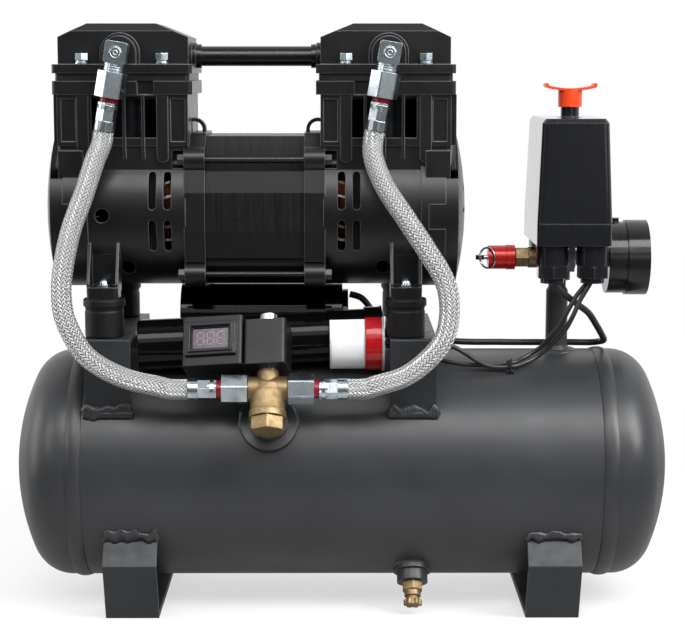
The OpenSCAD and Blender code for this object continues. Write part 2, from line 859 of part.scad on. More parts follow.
// Places a hose end: +Z runs from the fitting into the hose, starting at the nut
module at_hose_ends() {
    for (side = [-1, 1]) {
        at_elbow(side) rotate([180, 0, 0]) translate([0, 0, elbow_nut]) children();
        translate(valve_arm) rotate([0, side * 90, 0]) translate([0, 0, arm_half]) children();
    }
}

module hose_nuts() {
    color("#aeb9c0") at_hose_ends() difference() {
        intersection() {
            translate([0, 0, clear]) rotate(18) hex_prism(nut_flat, nut_len);
            translate([0, 0, clear]) cylinder(h = nut_len, r = nut_flat * 0.56);
        }
        translate([0, 0, -1]) cylinder(h = 11.5, r = union_r + fit);
        cylinder(h = nut_len + 2, r = 4.2 + fit);
    }
}

module seal_rings() {
    color("#8e1520") at_hose_ends() translate([0, 0, nut_len + clear]) difference() {
        cylinder(h = 3.4, r = 6);
        translate([0, 0, -1]) cylinder(h = 6, r = 4.2 + fit);
    }
}

module hose_ferrules() {
    color("#c9ccd0") at_hose_ends() {
        translate([0, 0, 11]) cylinder(h = nut_len - 4, r = 4.2);
        translate([0, 0, nut_len + 3.8]) difference() {
            union() {
                cylinder(h = 5.5, r = hose_d / 2 - 1);
                translate([0, 0, 1.5]) cylinder(h = 2.5, r = hose_d / 2 - 0.4);
                rotate(12) hex_prism(hose_d - 2.4, ferrule_len - 2);
                translate([0, 0, ferrule_len - 6.5]) cylinder(h = 6.5, r = hose_d / 2 - 0.1);
            }
            translate([0, 0, ferrule_len - hose_in]) cylinder(h = 8, r = hose_d / 2 - 0.5);
        }
    }
}

module head_elbows() {
    s = elbow_size;
    color("#c4ccd2") for (side = [-1, 1]) {
        at_elbow(side) difference() {
            union() {
                translate([0, s / 2, 0]) rotate([90, 0, 0]) rounded_block(s, s, s, 1.5);
                translate([0, 0, -elbow_nut - 9]) cylinder(h = elbow_nut + 9, r = union_r);
                for (z = [s / 2 + 1 : 1.5 : elbow_nut - 0.6])
                    translate([0, 0, -z - 0.4]) cylinder(h = 0.8, r = union_r + 0.4);
                translate([0, -s / 2 - 0.5, 0]) along_y(0, 2, 4.2);
                along_y(0, elbow_y - cover_y + 1.5, 5);
            }
            translate([0, 0, -40]) cylinder(h = 40, r = 3.4);
            along_y(0, 30, 3);
        }
    }
}

module hose_between(start, mid, end_x) {
    route = concat([start, start + 12 * elbow_down], mid, [[end_x[0], valve_arm[1], valve_arm[2]],
        [end_x[1], valve_arm[1], valve_arm[2]]]);
    swept_tube(smooth_path(route, hose_rings), hose_d / 2 - 1.2, 12);
}

module hose_left() {
    start = elbow_origin(-1) + hose_start * elbow_down;
    color("#c7c9cb") hose_between(start, hose_left_mid, [valve_x - arm_hose - 14, valve_x - arm_hose]);
}

module hose_right() {
    start = elbow_origin(1) + hose_start * elbow_down;
    color("#c7c9cb") hose_between(start, hose_right_mid, [valve_x + arm_hose + 14, valve_x + arm_hose]);
}

// ---------- motor ----------

module stator_outline(grow = 0) {
    half = stator_flat / 2 + grow;
    flat = 0.13 * stator_flat;
    notch = stator_flat * 0.27 + grow;
    intersection() {
        union() {
            square([2 * half - 2 * stator_step, 2 * half], center = true);
            polygon([
                [half, flat], [half - 3.5, notch], [-half + 3.5, notch], [-half, flat],
                [-half, -flat], [-half + 3.5, -notch - 4], [half - 3.5, -notch - 4], [half, -flat],
            ]);
        }
        circle(stator_round + grow);
    }
}

module at_ties() {
    for (y = [-1, 1], z = [-1, 1]) translate([0, y * tie_y, z * tie_z - tie_drop]) children();
}

module stator_core() {
    color("#2b2b2d") translate([pump_x, 0, shaft_z]) difference() {
        translate([-stator_half, 0, 0]) rotate([90, 0, 90]) linear_extrude(stator_len) difference() {
            stator_outline();
            circle(26.5);
            for (a = [0 : 30 : 330]) rotate(a) translate([35, 0]) circle(5.5);
            for (y = [-1, 1], z = [-1, 1]) translate([y * tie_y, z * tie_z - tie_drop]) circle(tie_d / 2 + 0.6);
        }
    }
}

module stator_windings() {
    color("#8a5a32") both_sides() {
        translate([stator_half + clear, 0, 0]) rotate([0, 90, 0]) rotate_extrude()
            translate([winding_r, collar_len - 4]) rounded_rect(15, 20, 5);
        for (a = [0 : 30 : 330])
            rotate([a, 0, 0]) translate([0, 0, winding_r]) along_x(0, stator_half + 4, 5.2);
    }
}

module rotor_core() {
    color("#8d8f92") translate([pump_x, 0, shaft_z]) difference() {
        union() {
            along_x(-stator_half, stator_half, rotor_r);
            along_x(-stator_half - 5, stator_half + 5, rotor_r - 3);
        }
        along_x(-pump_half, pump_half, shaft_d / 2 + fit);
    }
}

module motor_shaft() {
    reach = fan_x + fan_w + 2;
    color("#c0c2c5") translate([pump_x, 0, shaft_z]) along_x(-reach, reach, shaft_d / 2);
}

module shaft_bearings() {
    color("#b4b6b9") both_sides() translate([bearing_x, 0, 0]) difference() {
        along_x(0, bearing_w, bearing_d / 2);
        along_x(-1, bearing_w + 1, shaft_d / 2 + fit);
        for (x = [-0.1, bearing_w - 0.9]) difference() {
            along_x(x, x + 1, bearing_d / 2 - 2.5);
            along_x(x - 1, x + 2, shaft_d / 2 + 2);
        }
    }
}

module tie_bolts() {
    reach = collar_end + 1;
    color("#2a2a2c") translate([pump_x, 0, shaft_z]) at_ties() {
        along_x(-reach, reach, tie_d / 2);
        translate([reach - 1, 0, 0]) rotate([0, 90, 0]) hex_prism(7, 4.5);
        translate([-reach - 3.5, 0, 0]) rotate([0, 90, 0]) hex_prism(7, 4.5);
    }
}

// ---------- pump housings ----------

// Upright slot with round ends, cut through the front and rear walls
module wall_slot(x, z0, z1, w) {
    for (z = [z0 + w / 2, z1 - w / 2]) translate([x, 0, z]) along_y(-housing_d, housing_d, w / 2);
    translate([x - w / 2, -housing_d, z0 + w / 2]) cube([w, 2 * housing_d, z1 - z0 - w]);
}

module block_body(grow, z0, z1) {
    translate([cylinder_offset, 0, z0]) rounded_block(block_w + grow, block_depth + grow, z1 - z0, 3);
}

module housing_core() {
    along_x(collar_end - 1, cover_split, housing_r);
    along_x(rim_start, cover_split, rim_r);
    translate([stator_half, 0, 0]) rotate([90, 0, 90]) linear_extrude(collar_len) stator_outline(2);
    at_ties() along_x(stator_half, collar_end, 8.5);
    difference() {
        block_body(0, 0, block_top);
        translate([cover_split, -block_depth, -1]) cube([20, 2 * block_depth, 18]);
    }
    block_body(2 * flange_grow, block_top - flange_h, block_top);
    // cheek between the block and the rim
    translate([rim_start + 3, -block_depth / 2 - 4, 17]) cube([block_out - rim_start - 3.5, block_depth + 8, 24]);
    // outer rib behind the flange
    translate([block_out - 1, -30, 44]) cube([5.5, 60, block_top - flange_h - 44]);
    for (y = [-1, 1]) block_front(y);
    // cable arch on the collar
    translate([stator_half + 9, -16, housing_r + 1]) along_y(0, 8, 8);
}

// Raised frame, round-ended bolt posts and pointed fins on one upright wall of the block
module block_front(y) {
    wall = block_depth / 2;
    top = block_top - flange_h + 1;
    translate([cylinder_offset, y * (wall + frame_rise / 2 - 1), (frame_low + top) / 2])
        cube([block_w, frame_rise + 2, top - frame_low], center = true);
    translate([cylinder_offset, 0, 0]) for (x = [-bolt_dx, bolt_dx]) {
        translate([x, 0, post_low + post_w / 2])
            along_y(min(y * (wall - 3), y * (wall + post_rise)), max(y * (wall - 3), y * (wall + post_rise)), post_w / 2);
        translate([x, y * (wall + post_rise / 2 - 1.5), (post_low + post_w / 2 + top) / 2])
            cube([post_w, post_rise + 3, top - post_low - post_w / 2], center = true);
    }
    for (x = fin_x) translate([cylinder_offset + x - fin_w / 2, 0, 0]) rotate([90, 0, 90])
        linear_extrude(fin_w) polygon([
            [y * (wall - 8), post_low], [y * (wall - 1), post_low], [y * (wall + post_rise), post_low + 7],
            [y * (wall + post_rise), top], [y * (wall - 8), top],
        ]);
}

// Ring segments at the front and rear where the end cover laps into the housing
module lap_tongues(gap) {
    intersection() {
        difference() {
            along_x(tongue_in - gap, cover_split + 1, rim_r + 3 * gap);
            along_x(tongue_in - 5, cover_split + 5, housing_r - housing_wall - 3 * gap);
        }
        translate([tongue_in - gap, -2 * housing_r, -10.5 - gap])
            cube([40, 4 * housing_r, 16.5 + 2 * gap]);
    }
}

// Pump foot: a block on the rubber mount, hung from the housing by two webs
module foot_arm(y) {
    x = mount_span_x / 2;
    low = -shaft_rise;
    edge = mount_span_y / 2 + foot_block_w / 2;
    translate([x, y * mount_span_y / 2, low])
        linear_extrude(foot_block_h) rounded_rect(foot_block_w, foot_block_w, 3);
    web = [[edge - 22, low + 4], [edge - 2, low + 4], [edge - 2, low + 10], [edge - 8, low + 24], [edge - 14, -19],
        [edge - 22, -19]];
    for (side = [-1, 1])
        translate([x + side * (foot_block_w / 2 - 1) - 1, 0, 0]) rotate([90, 0, 90]) linear_extrude(2)
            polygon([for (q = web) [y * q[0], q[1]]]);
    // wall between the webs, up into the barrel
    translate([x, y * (edge - 20), low + 4]) linear_extrude(shaft_rise - 27) square([foot_block_w - 2, 4], center = true);
}

// Windows and recesses in the block's front and rear walls, with the fins left standing
module block_panels() {
    top = block_top - flange_h - 1;
    for (y = [-1, 1]) {
        translate([cylinder_offset, y * (block_depth / 2), 0]) {
            difference() {
                translate([-window_half, -8, window_low]) cube([2 * window_half - 2, 16, top - window_low]);
                for (x = fin_x) translate([x - fin_w / 2, -11, 0]) cube([fin_w, 22, 2 * top]);
            }
            for (x = [-block_w / 2 + 2, bolt_dx + post_w / 2 + 1])
                translate([x, y > 0 ? 0.2 : -5.2, frame_low + 3]) cube([9.5, 5, top - frame_low - 5]);
        }
        translate([cylinder_offset - 15.5, y * (block_depth / 2 + 4), block_top - 4.5])
            cube([11, 10, 9], center = true);
    }
    // air room round the sleeve
    translate([cylinder_offset, 0, 46]) rounded_block(block_w - 12, block_depth - 10, top - 48, 3);
}

module pump_housing() {
    w = housing_wall;
    difference() {
        union() {
            housing_core();
            for (y = [-1, 1]) foot_arm(y);
        }
        // collar seat for the stator and room for the windings
        translate([stator_half - 1, 0, 0]) rotate([90, 0, 90]) linear_extrude(1 + clear) stator_outline(fit);
        along_x(stator_half - 1, bearing_x - 5, 44.5);
        // crankcase and bearing seat
        along_x(bearing_x + bearing_w + 0.5, cover_split + 20, housing_r - w);
        along_x(bearing_x - 10, bearing_x + bearing_w + 2, bearing_d / 2 - 3);
        along_x(bearing_x - fit, bearing_x + bearing_w + 2, bearing_d / 2 + fit);
        translate([cylinder_offset, 0, 0]) cylinder(h = block_top + 1, r = sleeve_r + fit);
        block_panels();
        lap_tongues(clear);
        for (x = [stator_half + 25, stator_half + 35]) {
            wall_slot(x, 2, 27, 5);
            wall_slot(x, -26, -5, 5);
        }
        translate([cylinder_offset + 14, 0, -2]) along_y(-housing_d, 0, 4.7);
        translate([cylinder_offset - 1.5, 0, -38]) along_y(-housing_d, 0, 4.7);
        translate([stator_half + 9, -16, housing_r + 1]) along_y(-1, 9, 5.5);
        at_ties() along_x(stator_half - 1, collar_end + 1, tie_d / 2 + 0.2);
        at_ties() along_x(collar_end, collar_end + 8, 6);
        for (y = [-1, 1]) translate([mount_span_x / 2, y * mount_span_y / 2, -shaft_rise - 1])
            cylinder(h = foot_block_h + 2, d = mount_screw_d + 2 * clear);
        for (x = [-1, 1], y = [-1, 1])
            translate([cylinder_offset + x * bolt_dx, y * bolt_y, block_top - 20]) cylinder(h = 21, r = 2.5 + fit);
    }
}

module pump_housing_left() {
    color("#2a2a2c") on_pump(-1) pump_housing();
}

module pump_housing_right() {
    color("#2a2a2c") on_pump(1) pump_housing();
}

// Half outline of an end cover: a straight rim closed by a shallow dome
module dome_outline(r, top, radius) {
    intersection() {
        translate([0, top - radius]) circle(radius, $fn = 128);
        translate([0, cover_split]) square([r, 100]);
    }
}

module end_cover() {
    w = housing_wall;
    difference() {
        rotate([0, 90, 0]) rotate_extrude() difference() {
            dome_outline(rim_r, pump_half, dome_r);
            translate([0, -1]) dome_outline(housing_r - w, pump_half - w + 1, dome_r - w);
            translate([0, cover_split - 1]) square([housing_r - w, 2]);
        }
        translate([cover_split - 1, -block_depth / 2 - 4 - clear, 17 - clear])
            cube([block_out + 4.5 - cover_split + 1 + clear, block_depth + 8 + 2 * clear, 60]);
        for (a = [0 : 30 : 330]) rotate([a, 0, 0])
            translate([pump_half, 0, 26]) cube([40, 4, 17], center = true);
    }
    lap_tongues(0);
}

module end_covers() {
    color("#28282a") both_sides() end_cover();
}

// ---------- pump works ----------

module cylinder_sleeves() {
    color("#b9bcc0") both_sides() translate([cylinder_offset, 0, block_top - sleeve_len]) difference() {
        cylinder(h = sleeve_len, r = sleeve_r);
        translate([0, 0, -1]) cylinder(h = sleeve_len + 2, r = bore_d / 2);
    }
}

// Wobble piston in one piece with its rod: z is the height of its crank pin
module piston(z) {
    crown = block_top - crank_throw - 3;
    translate([0, 0, z]) {
        translate([cylinder_offset, 0, crown - 10]) cylinder(h = 10, r = bore_d / 2 - 0.08);
        translate([rod_x, -8, pin_r + 5]) cube([rod_w, 16, crown - pin_r - 13]);
        difference() {
            along_x(rod_x, rod_x + rod_w, pin_r + 7);
            along_x(rod_x - 1, rod_x + rod_w + 1, pin_r + 4);
        }
        difference() {
            along_x(rod_x, rod_x + rod_w, pin_r + 4 - fit / 2);
            along_x(rod_x - 1, rod_x + rod_w + 1, pin_r);
        }
    }
}

module piston_left() {
    color("#c2c4c6") on_pump(-1) piston(crank_throw);
}

module piston_right() {
    color("#c2c4c6") on_pump(1) piston(-crank_throw);
}

// Eccentric with its counterweight opposite the pin; up is +1 or -1
module crank_disc(up) {
    heavy = block_top - sleeve_len - 2;
    difference() {
        union() {
            translate([0, 0, up * crank_throw]) along_x(disc_x, disc_x + disc_w, pin_r - fit);
            intersection() {
                along_x(disc_x, disc_x + disc_w, heavy);
                translate([disc_x, -heavy, up > 0 ? -2 * heavy : 0]) cube([disc_w, 2 * heavy, 2 * heavy]);
            }
        }
        along_x(disc_x - 1, disc_x + disc_w + 1, shaft_d / 2 + fit);
    }
}

module crank_discs() {
    color("#7e8083") {
        on_pump(-1) crank_disc(1);
        on_pump(1) crank_disc(-1);
    }
}

module cooling_fans() {
    color("#1e1e20") both_sides() translate([fan_x, 0, 0]) difference() {
        union() {
            along_x(0, fan_w, 12);
            intersection() {
                difference() {
                    along_x(0, fan_w, fan_r);
                    along_x(-1, fan_w + 1, 10);
                }
                for (a = [0 : 360 / 7 : 359]) rotate([a, 0, 0])
                    translate([fan_w / 2, 0, fan_r / 2]) rotate([0, 0, 35])
                        cube([22, 1.8, fan_r + 4], center = true);
            }
        }
        along_x(-1, fan_w + 1, shaft_d / 2 + fit);
    }
}

// ---------- heads ----------

module at_head_bolts() {
    for (x = [-1, 1], y = [-1, 1]) translate([cylinder_offset + x * bolt_dx, y * bolt_y, 0]) children();
}

module valve_plates() {
    color("#4a4b4e") both_sides() difference() {
        translate([0, 0, block_top]) translate([cylinder_offset, 0, 0])
            rounded_block(block_w + 2, block_depth + 2, valve_plate, 3);
        at_head_bolts() translate([0, 0, block_top - 1]) cylinder(h = valve_plate + 2, r = 2.5 + fit);
        for (y = [-14, 14], x = [-6, 6])
            translate([cylinder_offset + x, y, block_top - 1]) cylinder(h = valve_plate + 2, r = 3);
    }
}

// Outline of a head cover from the front, with its sloped shoulders
module cover_front(grow) {
    half = block_w / 2 + grow;
    polygon([
        [-half, 0], [-half, cover_h - 9 + grow], [-half + 22, cover_h + grow],
        [half - 19, cover_h + grow], [half, cover_h - 9 + grow], [half, 0],
    ]);
}

// Outline of a head cover from the side, bevelled along its top edges
module cover_side(grow) {
    half = cover_y + grow;
    polygon([
        [-half, 0], [-half, cover_h - 5 + grow], [-half + 5, cover_h + grow],
        [half - 5, cover_h + grow], [half, cover_h - 5 + grow], [half, 0],
    ]);
}

module cover_body(grow) {
    intersection() {
        translate([cylinder_offset, block_depth, cover_z]) rotate([90, 0, 0])
            linear_extrude(2 * block_depth) cover_front(grow);
        translate([0, 0, cover_z]) rotate([90, 0, 90]) linear_extrude(block_out + 20) cover_side(grow);
    }
}

module head_cover() {
    difference() {
        union() {
            cover_body(0);
            translate([cylinder_offset, 0, cover_z])
                rounded_block(block_w + 2 * flange_grow, block_depth + 2 * flange_grow, cover_flange_h, 3);
            // arched boss round the hose port
            for (step = [[13.2, 3], [11.2, 8]]) translate([cylinder_offset + port_dx, -cover_y, port_z]) {
                along_y(-step[1], 4, step[0]);
                translate([-step[0], -step[1], cover_z - port_z]) cube([2 * step[0], step[1] + 4, port_z - cover_z]);
            }
            translate([block_in - 3, 0, crossover_z]) along_x(0, 6, crossover_d / 2 + 2.5);
        }
        translate([0, 0, -3]) cover_hollow();
        at_head_bolts() translate([0, 0, cover_z - 1]) cylinder(h = 30, r = 2.5 + fit);
        translate([cylinder_offset + port_dx, 0, port_z]) along_y(-block_depth, -20, 5 + fit);
        translate([0, 0, crossover_z]) along_x(block_in - 5, block_in + 10, crossover_d / 2 + fit);
        // rib lines on the top face
        for (x = [-14, 14]) translate([cylinder_offset + x, 0, cover_top + 0.4]) cube([1.2, 60, 2], center = true);
    }
}

module cover_hollow() {
    cover_body(-4.5);
}

module head_covers() {
    color("#262628") both_sides() head_cover();
}

module head_bolts() {
    seat = cover_z + cover_flange_h;
    color("#c3c9ce") both_sides() at_head_bolts() {
        translate([0, 0, block_top - 16]) cylinder(h = seat - block_top + 17, r = 2.5);
        translate([0, 0, seat]) cylinder(h = 1.4, r = 4.7);
        translate([0, 0, seat + 1]) cylinder(h = 2, r = 4);
        translate([0, 0, seat + 2.6]) hex_prism(8.2, 4.6);
    }
}

module crossover_pipe() {
    reach = block_in + 4;
    color("#19191b") translate([pump_x, 0, shaft_z + crossover_z]) difference() {
        union() {
            along_x(-reach, reach, crossover_d / 2);
            for (x = [-block_in + 3, block_in - 6.6]) along_x(x, x + 3.4, crossover_d / 2 + 1.4);
        }
        along_x(-reach - 1, reach + 1, crossover_d / 2 - 1.5);
    }
}

// ---------- capacitors and cables ----------

run_d = 35;
run_band = 36.6;           // diameter over the paper band
run_cap_d = 40;          // diameter of the end cap
run_seat = tank_r + run_d / 2 + 0.2;
cap_seat = tank_r + run_cap_d / 2 + 0.2;
run_start = bracket_x - bracket_span / 2 + bracket_w / 2 + 3;
run_end = min(pump_x + mount_span_x / 2 - cushion_d / 2 - 1.6, bracket_x + bracket_span / 2 - bracket_w / 2 - 3);
run_left = [run_start, -run_seat * sin(24.5), tank_z + run_seat * cos(24.5)];
run_right = [run_end, -cap_seat * sin(18.5), tank_z + cap_seat * cos(18.5)];

module run_capacitor() {
    span = run_right - run_left;
    length = norm(span);
    color("#161618") translate(run_left)
        rotate([0, acos(span[2] / length), atan2(span[1], span[0])]) {
            cylinder(h = length - 1, d = run_d);
            translate([0, 0, length - 37]) cylinder(h = 26, d = run_band);
            translate([0, 0, length - 12]) cylinder(h = 11, d = run_cap_d - 1);
            translate([0, 0, length - 1.5]) cylinder(h = 1.5, d = run_cap_d);
        }
}

start_d = 46;
start_y = 10;
start_left = run_start + 26;
start_len = 0.68 * (run_end - run_start);

module start_capacitor() {
    z = tank_z + sqrt((tank_r + start_d / 2) * (tank_r + start_d / 2) - start_y * start_y);
    color("#141416") translate([0, start_y, z + 0.1]) {
        along_x(start_left, start_left + start_len, start_d / 2);
        along_x(start_left + start_len - 1, start_left + start_len + 4, start_d / 2 - 4);
    }
}

module cables() {
    color("#2c2c2e") swept_tube(smooth_path(feed_cable, 36), 2.3, 8);
    color("#2c2c2e") swept_tube(smooth_path(lead_a, 32), 1.65, 8);
    color("#2c2c2e") swept_tube(smooth_path(lead_b, 32), 1.65, 8);
}

tank_shell();
tank_end_left();
tank_end_right();
tank_feet();
pump_brackets();
rubber_mounts();
mount_screws();
tank_bungs();
drain_valve_body();
drain_valve_knob();
riser_pipe();
manifold_block();
switch_base();
switch_cover();
switch_knob();
cable_glands();
safety_valve_body();
safety_valve_cap();
safety_valve_stem();
safety_valve_ring();
gauge_case();
gauge_dial();
gauge_needle();
gauge_lens();
check_valve_body();
check_valve_cap();
check_valve_poppet();
hose_nuts();
seal_rings();
hose_ferrules();
head_elbows();
hose_left();
hose_right();
solenoid_coil();
solenoid_stem();
solenoid_plunger();
coil_connector();
display_window();
cables();
run_capacitor();
start_capacitor();
stator_core();
stator_windings();
rotor_core();
motor_shaft();
shaft_bearings();
pump_housing_left();
pump_housing_right();
end_covers();
cylinder_sleeves();
piston_left();
piston_right();
crank_discs();
cooling_fans();
valve_plates();
head_covers();
head_bolts();
tie_bolts();
crossover_pipe();
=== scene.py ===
import json
import math
import random

import bpy
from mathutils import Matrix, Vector


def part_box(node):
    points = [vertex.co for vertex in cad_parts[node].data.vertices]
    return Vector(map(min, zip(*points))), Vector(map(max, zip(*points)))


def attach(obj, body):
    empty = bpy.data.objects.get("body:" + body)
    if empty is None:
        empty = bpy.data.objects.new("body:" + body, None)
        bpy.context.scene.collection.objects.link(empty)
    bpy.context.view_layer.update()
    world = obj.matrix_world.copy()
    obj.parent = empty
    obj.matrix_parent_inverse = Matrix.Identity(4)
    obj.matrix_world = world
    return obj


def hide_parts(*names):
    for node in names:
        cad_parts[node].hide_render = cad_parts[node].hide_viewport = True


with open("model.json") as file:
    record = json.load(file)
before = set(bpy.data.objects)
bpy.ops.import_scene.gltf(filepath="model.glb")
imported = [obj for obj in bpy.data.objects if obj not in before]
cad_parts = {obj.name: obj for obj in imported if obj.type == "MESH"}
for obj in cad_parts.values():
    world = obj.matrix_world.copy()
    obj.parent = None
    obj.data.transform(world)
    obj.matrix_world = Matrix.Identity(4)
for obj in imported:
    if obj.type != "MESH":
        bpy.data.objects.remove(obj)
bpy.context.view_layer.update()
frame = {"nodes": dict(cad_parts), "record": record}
nodes = frame["nodes"]
print("frame loaded:", len(nodes), "nodes")

mm = 0.001


def toLinear(hexColour):
    parts = [int(hexColour[i:i + 2], 16) / 255 for i in (1, 3, 5)]
    return [c / 12.92 if c <= 0.04045 else ((c + 0.055) / 1.055) ** 2.4 for c in parts] + [1.0]


def setInputs(tree, node, inputs):  # a socket is linked, any other value is set
    for key, value in inputs.items():
        if isinstance(value, bpy.types.NodeSocket):
            tree.links.new(value, node.inputs[key])
        else:
            node.inputs[key].default_value = value


def addNode(tree, kind, inputs=None, **settings):
    node = tree.nodes.new(kind)
    for name, value in settings.items():
        setattr(node, name, value)
    setInputs(tree, node, inputs or {})
    return node


def meshObject(name, vertices, faces, material, body="frame", smooth=True):
    mesh = bpy.data.meshes.new(name)
    mesh.from_pydata([tuple(v) for v in vertices], [], faces)
    mesh.validate()
    for polygon in mesh.polygons:
        polygon.use_smooth = smooth
    piece = bpy.data.objects.new(name, mesh)
    bpy.context.scene.collection.objects.link(piece)
    for each in material if isinstance(material, list) else [material]:
        mesh.materials.append(each)
    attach(piece, body)
    return piece


def mean(points):
    points = list(points)
    return sum(points, Vector()) / len(points)


def nodePoints(node):
    return [v.co.copy() for v in nodes[node].data.vertices]


def curvePoint(a, b, c, d, t):  # share t of the curve through b and c
    return 0.5 * (2 * b + (c - a) * t + (2 * a - 5 * b + 4 * c - d) * t * t
                  + (3 * b - a - 3 * c + d) * t * t * t)


def evenPath(points, spacing, cuts=60):  # evenly spaced smooth path, and its length
    points = [Vector(p) for p in points]
    last = len(points) - 1
    fine = []
    for i in range(cuts * last + 1):
        u = i / cuts
        k = min(int(u), last - 1)
        before, after = points[max(k - 1, 0)], points[min(k + 2, last)]
        fine.append(curvePoint(before, points[k], points[k + 1], after, u - k))
    reached = [0.0]
    for a, b in zip(fine, fine[1:]):
        reached.append(reached[-1] + (b - a).length)
    count = max(2, round(reached[-1] / spacing))
    path = []
    k = 0
    for i in range(count + 1):
        goal = reached[-1] * i / count
        while k < len(fine) - 2 and reached[k + 1] < goal:
            k += 1
        share = (goal - reached[k]) / max(reached[k + 1] - reached[k], 1e-9)
        path.append(fine[k].lerp(fine[k + 1], share))
    return path, reached[-1]


def pathFrames(path):  # a tangent and two sides at each point, turned as little as possible
    frames = []
    side = Vector((0.1, 1.0, 0.2))
    for i in range(len(path)):
        tangent = (path[min(i + 1, len(path) - 1)] - path[max(i - 1, 0)]).normalized()
        side = (side - tangent * side.dot(tangent)).normalized()
        frames.append((tangent, side, tangent.cross(side)))
    return frames


def ringFaces(rings, sides):  # faces between closed rings of points, one ring after another
    faces = []
    for i in range(rings - 1):
        for k in range(sides):
            j = (k + 1) % sides
            faces.append((i * sides + k, i * sides + j, (i + 1) * sides + j, (i + 1) * sides + k))
    return faces


def tubeMesh(path, radius, sides):  # radius is one number, or a function of the point's place in the path
    vertices = []
    for i, (_, side, up) in enumerate(pathFrames(path)):
        r = radius(i) if callable(radius) else radius
        for k in range(sides):
            angle = 2 * math.pi * k / sides
            vertices.append(path[i] + r * (math.cos(angle) * side + math.sin(angle) * up))
    faces = ringFaces(len(path), sides)
    faces.append(tuple(range(sides - 1, -1, -1)))
    faces.append(tuple((len(path) - 1) * sides + k for k in range(sides)))
    return vertices, faces


def turnedMesh(origin, axis, profile, sides=96):  # profile is (distance along the axis, radius)
    axis = axis.normalized()
    across = axis.orthogonal().normalized()
    up = axis.cross(across)
    vertices = []
    for along, radius in profile:
        for k in range(sides):
            angle = 2 * math.pi * k / sides
            spoke = math.cos(angle) * across + math.sin(angle) * up
            vertices.append(origin + axis * along + radius * spoke)
    return vertices, ringFaces(len(profile), sides)


def joined(parts):  # one list of vertices and faces from several
    vertices, faces = [], []
    for partVertices, partFaces in parts:
        faces += [tuple(v + len(vertices) for v in face) for face in partFaces]
        vertices += partVertices
    return vertices, faces


def boxMesh(centre, axes, size):
    vertices = []
    for corner in range(8):
        halves = [axes[i] * size[i] * (0.5 if corner >> i & 1 else -0.5) for i in range(3)]
        vertices.append(centre + sum(halves, Vector()))
    return vertices, [(0, 1, 3, 2), (4, 6, 7, 5), (0, 4, 5, 1), (2, 3, 7, 6), (0, 2, 6, 4), (1, 5, 7, 3)]


def newMaterial(name):
    material = bpy.data.materials.new(name)
    material.use_nodes = True
    tree = material.node_tree
    tree.nodes.clear()
    shader = addNode(tree, "ShaderNodeBsdfPrincipled")
    out = addNode(tree, "ShaderNodeOutputMaterial")
    tree.links.new(shader.outputs[0], out.inputs[0])
    return material, tree, shader, addNode(tree, "ShaderNodeTexCoord").outputs["Object"]


def noise(tree, place, size, detail=3.0, rough=0.5):  # size is the width of a blob in metres
    return addNode(tree, "ShaderNodeTexNoise", {"Vector": place, "Scale": 1 / size, "Detail": detail,
                                                "Roughness": rough}).outputs[0]


def blendColours(tree, factor, *colours):  # two colours, each a hex string or a socket
    first, second = [toLinear(c) if isinstance(c, str) else c for c in colours]
    return addNode(tree, "ShaderNodeMix", {0: factor, 6: first, 7: second}, data_type="RGBA").outputs[2]


def mapRange(tree, value, low, high, toLow=0.0, toHigh=1.0):
    inputs = {"Value": value, 1: low, 2: high, 3: toLow, 4: toHigh}
    return addNode(tree, "ShaderNodeMapRange", inputs).outputs[0]


def mathNode(tree, operation, first, second=0.0):
    return addNode(tree, "ShaderNodeMath", {0: first, 1: second}, operation=operation).outputs[0]


def roundedNormal(tree, radius):
    return addNode(tree, "ShaderNodeBevel", {"Radius": radius}, samples=6).outputs[0]


def bump(tree, height, depth, normal=None):
    inputs = {"Height": height, "Distance": depth, "Strength": 1.0}
    if normal is not None:
        inputs["Normal"] = normal
    return addNode(tree, "ShaderNodeBump", inputs).outputs[0]


def coatedSurface(name, colour, second, roughness, grain, depth, edge=0.5, patch=40, metal=0.0,
                  specular=0.5, spread=0.08, edgeHighlight=None, coat=0.0):  # sizes in millimetres
    material, tree, shader, place = newMaterial(name)
    drift = noise(tree, place, patch * mm, 4.0, 0.6)
    tint = blendColours(tree, mapRange(tree, drift, 0.3, 0.7), colour, second)
    soft = roundedNormal(tree, edge * mm)
    if edgeHighlight:  # painted highlight: rounded edges take a lighter colour
        flat = addNode(tree, "ShaderNodeNewGeometry").outputs["Normal"]
        turn = addNode(tree, "ShaderNodeVectorMath", {0: soft, 1: flat}, operation="DOT_PRODUCT")
        tint = blendColours(tree, mapRange(tree, turn.outputs["Value"], 0.985, 0.9), tint, edgeHighlight)
    cloud = noise(tree, place, patch * 0.22 * mm, 5.0)  # finer than the drift of colour
    setInputs(tree, shader, {
        "Base Color": tint,
        "Roughness": mapRange(tree, cloud, 0.3, 0.7, roughness - spread, roughness + spread),
        "Metallic": metal,
        "Specular IOR Level": specular,
        "Coat Weight": coat,
        "Coat Roughness": 0.1,
        "Normal": bump(tree, noise(tree, place, grain * mm, 2.0), depth * mm, soft),
    })
    return material


def platedSurface(name, colour, second, roughness, edge=0.35, spot=9, scratch=0.3):  # sizes in millimetres
    material, tree, shader, place = newMaterial(name)
    cloud = noise(tree, place, spot * mm, 4.0, 0.55)
    scratches = noise(tree, place, scratch * mm, 2.0)
    setInputs(tree, shader, {
        "Base Color": blendColours(tree, mapRange(tree, cloud, 0.35, 0.68), colour, second),
        "Metallic": 1.0,
        "Roughness": mapRange(tree, cloud, 0.3, 0.7, roughness - 0.05, roughness + 0.07),
        "Normal": bump(tree, scratches, 0.008 * mm, roundedNormal(tree, edge * mm)),
    })
    return material


